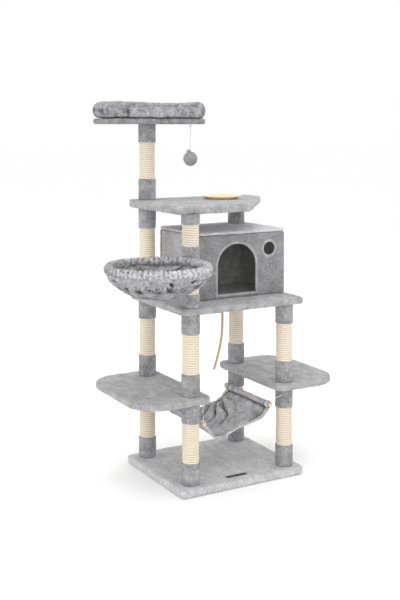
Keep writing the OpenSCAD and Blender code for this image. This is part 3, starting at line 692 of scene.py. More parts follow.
# %% Twelve windings
PITCH_UP, PRESSED = 0.0098, 1.03     # height of one turn of rope, and how much its sides press together
ROPE_THICK = 0.0080                  # from the tube outwards
wound = [n for n in sorted(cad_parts) if n.startswith("sisal_")]
total = 0
for name in wound:
    low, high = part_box(name)
    cx, cy = axis_of(name)
    outer = (high.x - low.x) / 2
    height = high.z - low.z - PITCH_UP
    post = make(name + "_rope", [(cx, cy, low.z)], [])
    run_tree(post, winding, Turns=height / PITCH_UP, Radius=outer - ROPE_THICK / 2, Height=height,
             Rope_Width=PITCH_UP * PRESSED, Rope_Depth=ROPE_THICK, Place=(cx, cy, low.z + PITCH_UP / 2),
             Finish=sisal_rope)
    outwards(post)
    total += len(post.data.polygons)
    stand_in(post, "tree", name)
print(len(wound), "windings,", total, "faces")

# %% [markdown]
# The ends of each winding are covered by a plush cuff, a strip wrapped round the tube with
# its edge turned under and one seam up the back. It is a turned outline whose radius dips at
# the seam and wanders a little.

# %% Cuffs
def cuff(centre, z0, z1, outer, inner, seed):
    TURN_IN, LIP, LIP_RISE, ROW = 0.004, 0.001, 0.0008, 0.008
    SEAM_AT, SEAM_DEEP, SEAM_WIDE = 1.1, 0.0013, 0.05
    steps = max(6, int((z1 - z0) / ROW))
    bend = [(TURN_IN * (1 - math.sin(a)), TURN_IN * (1 - math.cos(a))) for a in np.radians((25, 50, 75))]
    profile = [(inner, z0 + TURN_IN), (inner + LIP, z0 + LIP_RISE)]
    profile += [(outer - a, z0 + b) for a, b in bend]
    profile += [(outer, z) for z in np.linspace(z0 + TURN_IN, z1 - TURN_IN, steps)]
    profile += [(outer - b, z1 - a) for a, b in bend]
    profile += [(inner + LIP, z1 - LIP_RISE), (inner, z1 - TURN_IN)]
    points, faces = lathe(profile, centre, 64)
    away = points[:, :2] - np.array(centre)
    far = np.linalg.norm(away, axis=1)
    angle = np.arctan2(away[:, 1], away[:, 0])
    dip = -SEAM_DEEP * bell(apart(angle, SEAM_AT), SEAM_WIDE)
    lumps = 0.0006 * ripple(points, 0.05, seed) + 0.00035 * ripple(points, 0.014, seed + 5)
    move = np.where(far > inner + LIP + 0.0002, dip + lumps - 0.0004, 0)
    points[:, :2] += away / far[:, None] * move[:, None]
    return points, faces


TUCK = 0.0022                        # the head of a cuff presses this far into the plush of the board
OVER_TUBE = 0.001                    # a cuff's inside is this far inside the winding
ROOF_TUBE_R = 0.0335
CUFF_LOW, CUFF_HIGH, SHORT_LOW, SHORT_HIGH = 0.092, 0.082, 0.056, 0.041
cuff_heights = {("front_left", 3): (SHORT_LOW, SHORT_LOW), ("front_left", 4): (SHORT_LOW, SHORT_HIGH),
                ("back_left", 3): (CUFF_LOW, CUFF_LOW)}
for place in COLUMNS:
    low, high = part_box("cuffs_" + place)
    centre, outer = axis_of("cuffs_" + place), (high.x - low.x) / 2
    parts = []
    for k in range(1, 5):
        if f"sisal_{place}_{k}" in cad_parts:
            slow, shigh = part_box(f"sisal_{place}_{k}")
            inner = (shigh.x - slow.x) / 2
            foot, head = cuff_heights.get((place, k), (CUFF_LOW, CUFF_HIGH))
            parts.append(cuff(centre, slow.z, slow.z + foot, outer, inner - OVER_TUBE, 10 * k))
            parts.append(cuff(centre, shigh.z - head, shigh.z + TUCK, outer, inner - OVER_TUBE, 10 * k + 3))
    piece = together("cuffs_plush_" + place, parts, cuff_plush_painted_darker)
    stand_in(piece, "tree", "cuffs_" + place)
    print(piece.name, len(parts), "cuffs")
low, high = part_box("roof_sleeve")
sleeve = cuff(axis_of("roof_sleeve"), low.z, high.z, (high.x - low.x) / 2, ROOF_TUBE_R, 77)
piece = together("roof_post_plush", [sleeve], cuff_plush_painted_darker)
stand_in(piece, "tree", "roof_sleeve")

# %% [markdown]
# ## The house
# Five fibreboard panels are covered in plush, so the corners are round and the faces are
# never quite flat. The front has the door and the round window cut before the cloth goes on.
# Inside it is dark, because light only comes in through the two openings. The inside faces take
# their own copy of the plush, lighter than the front's: painted light that lifts that shade.

# %% Panels
def paint_inside_lighter(obj, inner, test):
    """Gives the faces that look into the house their own copy of the plush, painted lighter."""
    obj.data.materials.append(inner)
    for p in obj.data.polygons:
        if test(p.center, p.normal):
            p.material_index = 1


hl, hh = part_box("house_front")
roof_low, roof_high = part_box("house_roof")
house_middle = Vector((*axis_of("house_roof"), (hl.z + roof_high.z) / 2))
WALL_IN, ROOF_IN = 0.008, 0.006      # the painted-light copy inside starts this far inside the outer faces
PANEL_EDGE, PANEL_CORNER = 0.0055, 0.006


def looks_in(c, nrm):
    between_x = roof_low.x + WALL_IN < c.x < roof_high.x - WALL_IN
    between_y = roof_low.y + WALL_IN < c.y < roof_high.y - WALL_IN
    return between_x and between_y and c.z < roof_high.z - ROOF_IN and (house_middle - c).dot(nrm) > 0


panels = {}
for name, axes in (("house_back", (0, 2, 1)), ("house_left", (1, 2, 0)), ("house_right", (1, 2, 0)),
                   ("house_roof", (0, 1, 2)), ("house_front", (0, 2, 1))):
    low, high = (Vector(v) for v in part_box(name))
    flat = rectangle(low, high, axes[:2])
    # the roof and the left wall take their lighter copies of the house plush: painted light
    cloth = {"house_roof": roof_plush_painted_lighter, "house_left": side_plush_painted_lighter}.get(name, house_plush)
    panels[name] = slab(name + "_plush", flat, (PANEL_CORNER,) * 4, low[axes[2]], high[axes[2]],
                        PANEL_EDGE, cloth, axes)

DOOR_X, DOOR_W, SILL, DOOR_TOP = 0.055, 0.201, 0.786, 1.009
WINDOW_X, WINDOW_Z, WINDOW_D = 0.223, 0.975, 0.065
CUT_OUT, EDGING_OUT = 0.05, 0.002    # cutters reach past the wall, edging starts past the opening
spring = DOOR_TOP - DOOR_W / 2


def arch(grow=0.0):
    """The door's outline from the sill's left end, round the arch, and back along the sill."""
    r, x0, x1 = DOOR_W / 2 + grow, DOOR_X - DOOR_W / 2 - grow, DOOR_X + DOOR_W / 2 + grow
    side = [(x1, z) for z in np.linspace(SILL - grow, spring, 20)[:-1]]
    bow = [(DOOR_X + r * math.cos(a), spring + r * math.sin(a)) for a in np.linspace(0, math.pi, 50)]
    down = [(x0, z) for z in np.linspace(spring, SILL - grow, 20)[1:]]
    sill = [(x, SILL - grow) for x in np.linspace(x0, x1, 30)[1:-1]]
    return side + bow + down + sill


def round_opening(grow, count):
    """The window's outline."""
    r = WINDOW_D / 2 + grow
    return [(WINDOW_X + r * math.cos(a), WINDOW_Z + r * math.sin(a))
            for a in np.linspace(0, 2 * math.pi, count + 1)[:-1]]


def prism(name, flat, y0, y1):
    m = len(flat)
    points = [(x, y0, z) for x, z in flat] + [(x, y1, z) for x, z in flat]
    faces = [tuple(range(m)), tuple(range(2 * m - 1, m - 1, -1))] + between_rows(2, m)
    return outwards(make(name, points, faces))


for flat in (arch(), round_opening(0, 48)):
    cutter = prism("opening", flat, hl.y - CUT_OUT, hh.y + CUT_OUT)
    m = panels["house_front"].modifiers.new("opening", "BOOLEAN")
    m.object, m.operation, m.solver = cutter, "DIFFERENCE", "EXACT"
    settle(panels["house_front"])
    bpy.data.objects.remove(cutter)
for k, (name, piece) in enumerate(panels.items()):
    soften(piece, voxel=0.0042, passes=2, amounts=((0.0005, 0.07), (0.0004, 0.016)), seed=40 + k)
    paint_inside_lighter(piece, inside_plush_painted_light, looks_in)
    stand_in(piece, "tree", name)
    print(piece.name, len(piece.data.polygons), "faces")

# %% Edging round the door and the window
front_y = hl.y
BAND_SIDES, BAND_THICK, BAND_WIDE, BAND_PROUD = 12, 0.0044, 0.0062, 0.0002
section = np.arange(BAND_SIDES) * 2 * np.pi / BAND_SIDES
FLATTER = np.array((0, -0.7, 0))     # the band is flatter towards the front than it is thick
band = np.stack([BAND_THICK * np.cos(section), BAND_WIDE * np.sin(section)], -1)
for name, flat, node in (("door_edging", arch(EDGING_OUT), "door_trim"),
                         ("window_edging", round_opening(EDGING_OUT, 60), "window_trim")):
    p = np.array([(x, front_y - BAND_PROUD, z) for x, z in flat])
    along = np.roll(p, -1, 0) - np.roll(p, 1, 0)
    along /= np.linalg.norm(along, axis=1)[:, None]
    outward = np.cross(along, (0, 1, 0))
    pts = np.concatenate([p[i] + band[:, :1] * FLATTER + band[:, 1:] * outward[i] for i in range(len(p))])
    piece = outwards(make(name, pts, between_rows(len(p), BAND_SIDES, True), trim_plush))
    rubbed(piece, ((0.0004, 0.02), (0.0003, 0.007)), 5)
    stand_in(piece, "tree", node)
    print(name, len(piece.data.polygons), "faces")

# %% [markdown]
# ## The perch's bolster
# A bolster is a stuffed tube sewn round the edge of the perch, fat at the back and sides and
# low at the front, so that a cat can step in. It starts as an oval tube and is then blown up
# a little as cloth, which makes the crowned, slightly creased skin that stuffing makes.

# %% The tube before stuffing
low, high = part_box("perch_bolster")
BACK_W, FRONT_W, BOLSTER_R = 0.079, 0.052, 0.088
dense = corner_arcs(rectangle(low, high), (BOLSTER_R,) * 4, 0.0, 24)
dense = np.concatenate([dense, dense[:1]])
run = np.concatenate([[0], np.cumsum(np.linalg.norm(np.diff(dense, axis=0), axis=1))])
STATIONS, GIRTH = 220, 30
want = np.linspace(0, run[-1], STATIONS + 1)[:-1]
rim = np.stack([np.interp(want, run, dense[:, k]) for k in (0, 1)], -1)
tangent = np.roll(rim, -1, 0) - np.roll(rim, 1, 0)
tangent /= np.linalg.norm(tangent, axis=1)[:, None]
inwards = np.stack([-tangent[:, 1], tangent[:, 0]], -1)
for _ in range(3):
    inwards = (np.roll(inwards, 1, 0) + inwards + np.roll(inwards, -1, 0)) / 3
inwards /= np.linalg.norm(inwards, axis=1)[:, None]
QUARTER = math.pi / 2 * BOLSTER_R     # a corner's length; the run starts where the left side ends
FRONT_RUN = high.x - low.x - 2 * BOLSTER_R
CREASES = (0.100, 2 * QUARTER + FRONT_RUN - 0.070)   # where a fat arm ends and the low front begins


def smooth(x):
    x = np.clip(x, 0, 1)
    return x * x * (3 - 2 * x)


def arms(s):
    """1 on the fat sides and back, 0 on the low front, and how deep the crease between them is."""
    TAPER, OVER, PINCH = 0.030, 0.2, 0.0075
    fat = np.maximum(smooth((CREASES[0] - s) / TAPER + OVER), smooth((s - CREASES[1]) / TAPER + OVER))
    return fat, sum(bell(s - c, PINCH) for c in CREASES)


fat, pinch = arms(want)
NARROWER, LOWER, SQUARE = 0.10, 0.16, 0.9   # at a crease, and how square the section is below 1
width = (FRONT_W + (BACK_W - FRONT_W) * fat) * (1 - NARROWER * pinch)
tall = (FRONT_W + (high.z - low.z - FRONT_W) * fat) * (1 - LOWER * pinch)
angle = np.arange(GIRTH) * 2 * np.pi / GIRTH
shape_x = 0.5 * (1 - np.sign(np.cos(angle)) * np.abs(np.cos(angle)) ** SQUARE)
shape_z = 0.5 * (1 + np.sign(np.sin(angle)) * np.abs(np.sin(angle)) ** SQUARE)
SLACK = 0.004                        # the skin starts this far inside, and the stuffing fills it
pts = np.zeros((STATIONS, GIRTH, 3))
reach = SLACK + shape_x[None] * (width[:, None] - 2 * SLACK)
pts[:, :, :2] = rim[:, None] + inwards[:, None] * reach[:, :, None]
pts[:, :, 2] = low.z + shape_z[None] * (tall[:, None] - SLACK)
faces = between_rows(STATIONS, GIRTH, True)
bolster = outwards(make("perch_bolster_plush", pts.reshape(-1, 3), faces, bolster_plush))
soften(bolster, voxel=0.006, passes=2, amounts=((0.0012, 0.06),), seed=9)
print("tube:", len(bolster.data.polygons), "faces, centre girth", round(float(width.max()), 3), "m wide")

# %% Stuffing it
def stuff(obj, frames, pressure, growth, cap, pinned):
    """Blows a closed skin up as cloth. Points under the pinned height stay; none moves past cap."""
    rest = get_points(obj)
    group = obj.vertex_groups.new(name="sewn")
    group.add([int(i) for i in np.nonzero(rest[:, 2] < pinned)[0]], 1.0, "REPLACE")
    m = obj.modifiers.new("cloth", "CLOTH")
    m.settings.use_pressure, m.settings.uniform_pressure_force = True, pressure
    m.settings.effector_weights.gravity = 0.0
    m.settings.vertex_group_mass = "sewn"
    m.settings.shrink_min = -growth
    m.settings.mass, m.settings.quality = 0.3, 5
    m.settings.bending_stiffness = 0.4
    m.collision_settings.use_self_collision = False
    for f in range(1, frames + 1):
        scene.frame_set(f)
    settle(obj)
    obj.vertex_groups.clear()
    scene.frame_set(1)
    step = get_points(obj) - rest
    far = np.linalg.norm(step, axis=1)
    scale = np.where(far > cap, cap / np.maximum(far, 1e-9), 1.0)
    set_points(obj, rest + step * scale[:, None])
    return float(far.max()), float(np.mean(far))


most, mean = stuff(bolster, frames=14, pressure=4.0, growth=0.012, cap=0.0045, pinned=low.z + 0.006)
print("stuffing moves the skin", round(mean * 1000, 1), "mm on average and",
      round(most * 1000, 1), "mm at most, before the cap")
co = get_points(bolster)
co[:, 2] = np.maximum(co[:, 2], low.z + 0.0003)
set_points(bolster, co)
rubbed(bolster, ((0.0009, 0.03), (0.0006, 0.012)), 21)
near = np.concatenate([np.argmin(((part[:, None, :2] - rim[None]) ** 2).sum(-1), 1)
                       for part in np.array_split(co, 12)])   # the nearest station, in 12 helpings
fat, pinch = arms(want[near])
SIDE_AT, SIDE_TALL, SEAM_TALL = 0.034, 0.020, 0.0052   # heights above the seat
# painted shade: darker in each crease between arm and front, at the seam on the seat and in a band on the fat
# sides; lumps give mottle
lumps = 0.6 + 0.16 * ripple(co, 0.05, 3) + 0.12 * ripple(co, 0.022, 4)
side_face = fat * bell(co[:, 2] - low.z - SIDE_AT, SIDE_TALL)
seam = bell(co[:, 2] - low.z, SEAM_TALL)
store(bolster, "fold", np.clip(lumps - 0.30 * side_face - 0.45 * pinch - 1.2 * seam, 0, 1))
more = bolster.modifiers.new("finer", "SUBSURF")
more.levels = more.render_levels = 1
settle(bolster)
stand_in(bolster, "tree", "perch_bolster")
print("bolster:", len(bolster.data.polygons), "faces")

# %% [markdown]
# ## The basket
# A wire ring on a bracket carries a soft pouch. The pouch is gathered on the ring, so there
# is more cloth round the rim than the ring needs. Near the rim it stands in small upright
# pleats, lower down it hangs in loops between them. Both are heights added to a bowl: a fine
# wave that fades with depth, and a row of hanging ridges.

# %% The pouch
low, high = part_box("basket_pouch")
BASKET_R, RIM_R, FOOT_R, DEPTH, WALL = 0.196, 0.014, 0.092, 0.112, 0.007
basket_x, basket_y = axis_of("basket_pouch")
ring_z = low.z + DEPTH
ROUND, DOWN = 420, 54


def loops(theta, t, count, seed, height):
    """Hanging loops of cloth: ridges that sag between upright gathers. t is 0 at the rim, 1 below."""
    HIGHEST, RIDGE, VALLEY, VALLEY_AT = 0.08, 0.085, 0.075, 0.13
    GATHER, GATHER_END, BELLY, BELLY_AT = 0.10, 0.7, 0.10, 0.55
    u = theta * count / (2 * np.pi) + 0.35 * np.sin(2 * theta + seed) + 0.2 * np.sin(5 * theta + 2 * seed)
    f = u - np.floor(u) - 0.5            # place across one loop
    own = np.sin(np.floor(u) * 12.9898 + seed) * 0.5 + 0.5   # each loop's own size
    arched = 1 - 4 * f * f
    sag = HIGHEST + (0.18 + 0.22 * own) * arched
    ridge = bell(t - sag, RIDGE) - 1.1 * bell(t - sag - VALLEY_AT, VALLEY)
    gather = bell(np.abs(f) - 0.5, GATHER) * np.clip(1 - t / GATHER_END, 0, 1)
    belly = 0.5 * bell(t - sag * BELLY_AT, BELLY) * arched
    fade = np.clip(t / 0.06, 0, 1) * np.clip((0.98 - t) / 0.2, 0, 1)
    return height * fade * (ridge * (0.6 + 0.6 * own) + 0.8 * gather + belly)


def bowl(t, inside):
    """Radius and height of the bowl at depth t. inside is 1 on the inner face."""
    FULL, LEVEL, THINNER, UNDER_RIM = 0.76, 0.95, 0.35, 0.005
    w = inside * WALL
    rim_r = BASKET_R + RIM_R - UNDER_RIM
    r = FOOT_R + (rim_r - FOOT_R) * np.cos(np.pi / 2 * t) ** FULL - w * (1 - THINNER * t)
    return r, -DEPTH * t ** LEVEL + w * t


def pleats(theta, t, count, slow, height):
    """Small upright pleats that fade with depth."""
    return height * np.sin(count * theta + slow[0] * np.sin(slow[1] * theta)) * max(0, 1 - t / 0.6)


theta = np.arange(ROUND) * 2 * np.pi / ROUND
# shades is painted light and shade: loops and pleats lighter on ridges and darker in hollows, painted shade
# under the ruffle, darker towards the bottom, the inside painted lighter
rows, shades = [], []
centre_r = np.linspace(0, 0.93, 9)
for q in centre_r:                   # bottom, from its middle out
    wave = 0.0015 * np.sin(9 * theta + 2) * q
    rows.append((FOOT_R * q + 0 * theta, -DEPTH + wave + 0.002 * (1 - q)))
    shades.append(0.45 + 0 * theta)
PROUD_MOST, PULLED_IN = 0.005, 0.003   # loops reach this far out, and the wall starts this far in
for t in np.linspace(0.985, 0.0, DOWN):   # outer wall, upwards
    r, z = bowl(np.array(t), 0)
    pleat = pleats(theta, t, 46, (1.5, 4), 0.0026)
    big, little = loops(theta, t, 9, 1.3, 0.0150), loops(theta, t, 16, 4.1, 0.0070)
    out = np.minimum(big + little, PROUD_MOST) - PULLED_IN
    rows.append((r + pleat + out, z + 0 * theta - 0.3 * np.clip(big, 0, 1)))
    shades.append(0.46 + 34 * big + 40 * little + 45 * pleat - 0.15 * t - 0.40 * bell(t - 0.26, 0.07))
for t in np.linspace(0.03, 0.985, 40):    # inner wall, downwards
    r, z = bowl(np.array(t), 1)
    pleat = pleats(theta, t, 40, (1.2, 3), 0.002)
    inside = loops(theta, t, 10, 2.2, 0.0095)
    rows.append((r + pleat - inside, z + 0 * theta))
    shades.append(0.98 + 46 * inside + 40 * pleat)
for q in centre_r[::-1]:
    wave = 0.003 * np.sin(5 * theta + 1) * np.sin(3 * theta) * q
    rows.append(((FOOT_R - WALL * 0.65) * q + 0 * theta, -DEPTH + WALL + wave))
    shades.append(0.8 + 80 * wave)
pts = np.array([[(basket_x + r * math.cos(a), basket_y + r * math.sin(a), ring_z + z)
                 for r, z, a in zip(*(np.broadcast_to(v, (ROUND,)) for v in row), theta)] for row in rows])
# slack cloth crumples: lumps push the wall in and out, most where it hangs free
middle = np.array((basket_x, basket_y, 0.0))
flat = pts.reshape(-1, 3)
crumple = (ripple(flat, 0.055, 71) + 0.6 * ripple(flat, 0.026, 72)).reshape(len(rows), ROUND)
depth_now = (ring_z - pts[..., 2]) / DEPTH
CRUMPLED = 0.0042                    # how far the lumps push
loose = CRUMPLED * smooth(depth_now / 0.25) * smooth((1.02 - depth_now) / 0.12)
sideways = (pts - middle) * (1, 1, 0)
sideways /= np.maximum(np.linalg.norm(sideways, axis=2), 1e-6)[..., None]
pts = pts + sideways * (crumple * loose)[..., None]
pouch = make("basket_pouch_plush", pts.reshape(-1, 3), between_rows(len(rows), ROUND), pouch_plush)
# the lumps also darken their own hollows: painted shade
outwards(store(pouch, "fold", np.clip(np.array(shades) + 48 * crumple * loose, 0, 1)))
smoother = pouch.modifiers.new("soft", "SMOOTH")
smoother.factor, smoother.iterations = 0.5, 3
settle(pouch)
rubbed(pouch, ((0.0008, 0.03), (0.0005, 0.012)), 31)
stand_in(pouch, "tree", "basket_pouch")
print("pouch:", len(pouch.data.polygons), "faces")

# %% [markdown]
# The rim is the brightest part: long pile, gathered tightly on the wire and hanging outside
# as a ruffle with an uneven lower edge. Short hairs stand on it. They repeat by the thousand,
# so a small Geometry Nodes tree scatters them.

# %% The ruffled rim
ROUND_RIM, SECTION = 560, 26
theta = np.arange(ROUND_RIM) * 2 * np.pi / ROUND_RIM
phi = np.arange(SECTION) * 2 * np.pi / SECTION
crimp = np.sin(62 * theta + 2.2 * np.sin(3 * theta) + 1.1 * np.sin(7 * theta))
crimp = np.sign(crimp) * np.abs(crimp) ** 0.7
flounce = 0.5 + 0.5 * np.sin(19 * theta + 1.6 * np.sin(2 * theta + 1))
cos_p, sin_p = np.cos(phi), np.sin(phi)
radial = np.zeros((ROUND_RIM, SECTION))
upright = np.zeros((ROUND_RIM, SECTION))
outside = np.clip(cos_p, 0, 1)
THICK, TALL, DROP, CRIMPED, SUNK = 0.0125, 0.0135, 0.013, 0.17, 0.001
for k in range(SECTION):
    below = 1 if sin_p[k] < 0 else 0
    drop = DROP + (0.005 + 0.005 * flounce) * below * (0.35 + 0.65 * outside[k])
    grow = 1 + CRIMPED * crimp * (0.4 + 0.6 * abs(sin_p[k]) + 0.4 * outside[k])
    radial[:, k] = BASKET_R - 0.0005 + THICK * cos_p[k] * grow
    upright[:, k] = -SUNK + sin_p[k] * (TALL * grow if sin_p[k] > 0 else drop)
pts = np.stack([basket_x + radial * np.cos(theta)[:, None], basket_y + radial * np.sin(theta)[:, None],
                ring_z + upright], -1)
faces = between_rows(ROUND_RIM, SECTION, True)
rim_piece = make("basket_rim_ruffle", pts.reshape(-1, 3), faces, rim_plush)
LIT_SIDE = math.radians(-62)        # painted light: the rim is painted palest round this side, where the light falls on it
pale = bell(apart(theta, LIT_SIDE), 0.95)
tufts = ripple(pts.reshape(-1, 3), 0.016, 12).reshape(pts.shape[:2])
# painted light and shade: palest on the lit side, the crimps lighter and darker by turns; tufts give mottle
crimp_shade = crimp[:, None] * (0.3 + 0.7 * np.abs(sin_p))[None]
shade = 0.36 + 0.62 * pale[:, None] + 0.16 * crimp_shade + 0.20 * tufts
store(rim_piece, "fold", np.clip(shade, 0, 1))
outwards(rim_piece)
rubbed(rim_piece, ((0.0012, 0.022), (0.0007, 0.009)), 61)
print("ruffle:", len(rim_piece.data.polygons), "faces")

# %% The hair tree
def hair_tree():
    tree, given = new_tree("standing pile", {"Density": 1000.0, "Length": 0.006, "Width": 0.0005, "Lean": 0.5},
                           {"Seed": "Int", "Finish": "Material"})
    spread = add_node(tree, "GeometryNodeDistributePointsOnFaces", {
        "Mesh": given["Geometry"], "Density": given["Density"], "Seed": given["Seed"]})
    blade = add_node(tree, "GeometryNodeMeshCone", {
        "Vertices": 3, "Radius Top": 0.0, "Radius Bottom": 1.0, "Depth": 1.0}, fill_type="NONE")
    size = add_node(tree, "ShaderNodeCombineXYZ", {
        "X": given["Width"], "Y": given["Width"], "Z": given["Length"]})
    tilt = add_node(tree, "FunctionNodeRandomValue", {
        "Min": (-1, -1, -1), "Max": (1, 1, 1), "Seed": given["Seed"]}, data_type="FLOAT_VECTOR")
    lean = add_node(tree, "ShaderNodeVectorMath", {0: tilt.outputs["Value"], "Scale": given["Lean"]},
                    operation="SCALE").outputs[0]
    way = add_node(tree, "ShaderNodeVectorMath", {0: spread.outputs["Normal"], 1: lean},
                   operation="ADD").outputs[0]
    aim = add_node(tree, "FunctionNodeAlignRotationToVector", {"Vector": way}, axis="Z")
    plant = add_node(tree, "GeometryNodeInstanceOnPoints", {
        "Points": spread.outputs["Points"], "Instance": blade.outputs["Mesh"],
        "Rotation": aim.outputs["Rotation"], "Scale": size.outputs["Vector"]})
    both = add_node(tree, "GeometryNodeJoinGeometry", {"Geometry": given["Geometry"]})
    tree.links.new(plant.outputs["Instances"], both.inputs["Geometry"])
    return close_tree(tree, both.outputs["Geometry"], given["Finish"])


pile = hair_tree()
run_tree(rim_piece, pile, Density=150000.0, Length=0.0050, Width=0.0006, Lean=1.0, Seed=4, Finish=rim_plush)
stand_in(rim_piece, "tree", "basket_pouch")
print("ruffle with hairs:", len(rim_piece.data.polygons), "faces")

# %% [markdown]
# ## Pompom
# A ball of cut yarn: a small core with thousands of short hairs that end at the same radius.

# %% Pompom ball
low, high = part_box("pompom")
radius, centre = (high.x - low.x) / 2, (low + high) / 2
HAIR = 0.0078                        # the core is smaller than the ball by this much
arc = np.linspace(-math.pi / 2, math.pi / 2, 19)


def globe(r, tall, z):
    """The outline of a ball or an egg, closed on its axis."""
    half = [(r * max(0.0, math.cos(a)), z + tall * math.sin(a)) for a in arc]
    half[0], half[-1] = (0.0, half[0][1]), (0.0, half[-1][1])
    return half


core = globe(radius - HAIR, radius - HAIR, centre.z)
TUFT = (-0.0075, 0.0043, 0.0005)     # a few longer ends stand up beside the string
tuft = globe(0.0035, 0.0045, centre.z + radius + TUFT[2])
ball = together("pompom_ball", [lathe(core, (centre.x, centre.y), 36),
                                lathe(tuft, (centre.x + TUFT[0], centre.y + TUFT[1]), 12)], ball_pile)
rubbed(ball, ((0.0012, 0.02),), 8)
run_tree(ball, pile, Density=900000.0, Length=0.0105, Width=0.0007, Lean=0.45, Seed=9, Finish=ball_pile)
stand_in(ball, "pompom", "pompom")
print("pompom:", len(ball.data.polygons), "faces")

# %% [markdown]
# ## The hammock
# One strip of plush is wrapped round two dowels and hangs between them. It leaves the left
# dowel downwards and rises to the right one in a long slope, passing under it. The cloth is
# slack, and its folds spread like a fan from the back corner at the right dowel. Both free
# edges carry a hem, a doubled band with a sewn groove beside it.

# %% The sling
ROD_LEFT, ROD_RIGHT, LOOP_R, HALF = (-.159, .268), (.174, .303), 0.011, 0.172
TURN_ROWS = 22


def round_rod(rod, start, end):
    """The turn that the cloth takes round a rod, between two angles in degrees."""
    turn = np.radians(np.linspace(start, end, TURN_ROWS))
    return np.stack([rod[0] + LOOP_R * np.cos(turn), rod[1] + LOOP_R * np.sin(turn)], -1)


loop_left, loop_right = round_rod(ROD_LEFT, -50, -360), round_rod(ROD_RIGHT, -46, 262)
a, d = loop_left[-1], loop_right[0]
DIP_LEFT, DIP_RIGHT = np.array((0.012, -0.088)), np.array((-0.139, -0.134))   # pull the curve down
b, c = a + DIP_LEFT, d + DIP_RIGHT
t = np.linspace(0, 1, 92)[1:-1, None]
belly = (1 - t) ** 3 * a + 3 * (1 - t) ** 2 * t * b + 3 * (1 - t) * t * t * c + t ** 3 * d
line = np.concatenate([loop_left, belly, loop_right])
share = np.concatenate([np.zeros(TURN_ROWS), t[:, 0], np.ones(TURN_ROWS)])
slope = np.gradient(line, axis=0)
slope /= np.linalg.norm(slope, axis=1)[:, None]
normal = np.stack([-slope[:, 1], slope[:, 0]], -1)
v = np.linspace(-1, 1, 121)
U, V = np.meshgrid(share, v, indexing="ij")
free = np.clip(U / 0.08, 0, 1) * np.clip((1 - U) / 0.10, 0, 1)
FAN_U, FAN_V, LONG = 0.92, 1.02, 0.40    # the folds spread from this point of the cloth
du, dv = (FAN_U - U) * LONG, (FAN_V - V) * HALF
far = np.hypot(du, dv)
swing = np.degrees(np.arctan2(dv, du))
folds = np.zeros_like(U)
FOLDS = ((8, 0.010, 0.006), (25, 0.015, 0.0075), (44, 0.017, 0.0075), (63, 0.015, 0.0085),
         (84, 0.006, 0.007))             # direction in degrees, depth, width
BESIDE, RISE, WIDER = 1.7, 0.55, 1.1     # a ridge stands on both sides of each fold
room = smooth(far / 0.05) * smooth((0.30 - far) / 0.12) * smooth((U - 0.06) / 0.15)
for turned, deep, narrow in FOLDS:
    off = far * np.radians(swing - turned + 5 * np.sin(far * 28 + turned))
    ridges = bell(off - BESIDE * narrow, WIDER * narrow) + bell(off + BESIDE * narrow, WIDER * narrow)
    folds += deep * room * (RISE * ridges - bell(off, narrow))
folds += 0.003 * np.sin(9 * U + 4 * V) * U
folds += 0.010 * bell(V + 1, 0.35) * np.sin(11 * U + 0.5) * smooth(U / 0.2)
folds *= free
pull = 1 - 0.075 * np.sin(np.pi * U) * free
grid = np.zeros(U.shape + (3,))
grid[..., 0] = line[:, 0][:, None] + normal[:, 0][:, None] * folds
grid[..., 1] = V * HALF * pull
BUNCHED = 0.020                      # the back edge is gathered up near its lower end
bunch = BUNCHED * free * bell(V - 1, 0.5) * bell(U - 0.6, 0.25)
grid[..., 2] = line[:, 1][:, None] + normal[:, 1][:, None] * folds + bunch
HEM, SEAM_IN = 0.105, 0.125          # across the cloth, as shares of its half width
hem = np.exp(-((1 - np.abs(V)) / HEM) ** 6)
seam = bell(1 - np.abs(V) - SEAM_IN, 0.020)
thick = 0.0034 + 0.0044 * hem - 0.0014 * seam
row = np.arange(len(line))[:, None]
leaves_left, meets_right = TURN_ROWS, len(line) - TURN_ROWS - 1
under_roll = bell(row - meets_right, 2.0) + 0.5 * bell(row - leaves_left, 3.0)
far_side = smooth((V - 0.45) / 0.5) * smooth((0.8 - U) / 0.35)
lumps = ripple(grid.reshape(-1, 3), 0.05, 2).reshape(U.shape)
# painted light and shade: fold ridges lighter and hollows darker, painted shade in the seam, under the rolls at
# the rods and over the far half; the hem lighter, lumps give mottle
cloth_shade = np.clip(0.55 + 38 * folds + 0.40 * hem - 0.60 * seam - 0.75 * under_roll
                      - 0.30 * far_side + 0.10 * lumps, 0, 1)


def double_sheet(name, grid, thick, material, shade):
    """A closed cloth. Each row of points runs across the top and back underneath."""
    normals = np.cross(np.gradient(grid, axis=0), np.gradient(grid, axis=1))
    normals /= np.maximum(np.linalg.norm(normals, axis=2), 1e-9)[..., None]
    half = normals * thick[..., None] / 2
    n, m = grid.shape[:2]
    pts = np.concatenate([grid + half, (grid - half)[:, ::-1]], 1)
    ends = [(first + k, first + k + 1, first + 2 * m - 2 - k, first + 2 * m - 1 - k)
            for first in (0, (n - 1) * 2 * m) for k in range(m - 1)]
    piece = make(name, pts.reshape(-1, 3), between_rows(n, 2 * m) + ends, material)
    return outwards(store(piece, "fold", np.concatenate([shade, shade[:, ::-1]], 1)))


sling = double_sheet("hammock_cloth", grid, thick, sling_plush_painted_lighter, cloth_shade)
rubbed(sling, ((0.0006, 0.03), (0.0003, 0.010)), 14)
stand_in(sling, "hammock", "hammock_sling")

# %% [markdown]
# ## Dish
# A shallow cream dish, glossy enough to show the lights as two soft marks. It is a turned
# outline with a rolled lip.

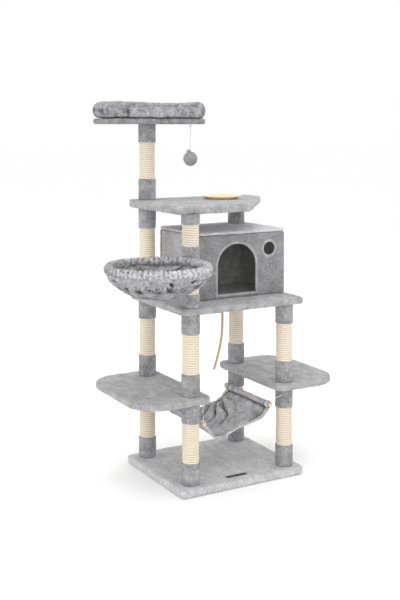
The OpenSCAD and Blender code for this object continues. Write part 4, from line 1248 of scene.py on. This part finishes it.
# %% The dish
low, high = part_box("dish")
R, h = (high.x - low.x) / 2, high.z - low.z
under = [(0, 0.0008), (0.050, 0.0008), (0.056, 0), (0.064, 0), (0.068, 0.001), (0.073, 0.0036), (0.079, 0.0075),
         (0.0835, h - 0.0042)]
lip = [(R - 0.0004, h - 0.0022), (R, h - 0.0012), (R - 0.0006, h - 0.0002), (R - 0.0016, h),
       (R - 0.0028, h - 0.0006), (R - 0.0042, h - 0.0026)]
inside = [(0.077, 0.0102), (0.071, 0.0058), (0.066, 0.0037), (0.060, 0.0028), (0, 0.0026)]
outline = [(r, low.z + z) for r, z in under + lip + inside]
dish = together("cream_dish", [lathe(outline, axis_of("dish"), 96)], glaze)
stand_in(dish, "dish", "dish")
print("dish:", len(dish.data.polygons), "faces")

# %% [markdown]
# ## Pieces that keep their CAD shape
# Boards, tubes, plugs, studs and bolts are already exact, and mostly out of sight. They keep
# their shape and take a finish. So do the rods, rings, eyes, staples, bracket and label.

# %% Finishes on the CAD pieces
dressed = {"_board": board_wood, "tubes_": card, "roof_tube": card, "end_plugs": plug_plastic,
           "joining_studs": steel, "bolts": steel, "basket_ring": dark_steel, "hammock_rods": dowel,
           "hammock_rings": brass, "hammock_eyes": steel, "toy_staples": steel, "pompom_ring": steel,
           "rope_loop": hanging_sisal, "blank_label": label_film}
count = 0
for name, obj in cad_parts.items():
    for key, material in dressed.items():
        if key in name:
            obj.data.materials.clear()
            obj.data.materials.append(material)
            count += 1
            break
print(count, "CAD pieces have a finish")

# %% [markdown]
# ## Studio
# A pale floor and soft light from all round, with one wide lamp high at the front left, give
# the even picture of a catalogue. The floor isn't part of the tree.

# %% Floor, lamps and sky
floor = make("floor", [(-60, -60, 0), (60, -60, 0), (60, 60, 0), (-60, 60, 0)], [(0, 1, 2, 3)], None, False)
floor.data.materials.append(plain("pale floor", (255, 255, 255), (254, 254, 254), 3, 0.9))
world = bpy.data.worlds.new("sky")
scene.world = world
world.use_nodes = True
sky = world.node_tree.nodes["Background"]
sky.inputs["Color"].default_value = (1, 1, 1, 1)
sky.inputs["Strength"].default_value = 1.0


def lamp(name, place, target, size, power):
    data = bpy.data.lights.new(name, "AREA")
    data.shape, data.size, data.energy = "SQUARE", size, power
    obj = bpy.data.objects.new(name, data)
    scene.collection.objects.link(obj)
    obj.location = place
    obj.rotation_euler = (Vector(target) - Vector(place)).to_track_quat("-Z", "Y").to_euler()
    return obj


lamp("overhead lamp", (-0.4, -1.2, 4.6), (0, 0, 0.6), 3.0, 45)
lamp("front lamp", (-2.0, -4.2, 2.0), (0, 0, 0.8), 2.0, 32)
lamp("left lamp", (-4.0, 0.6, 2.2), (0, 0, 0.6), 2.2, 22)
lamp("right lamp", (3.4, 1.6, 2.8), (0, 0, 0.3), 2.4, 30)
print("studio ready")
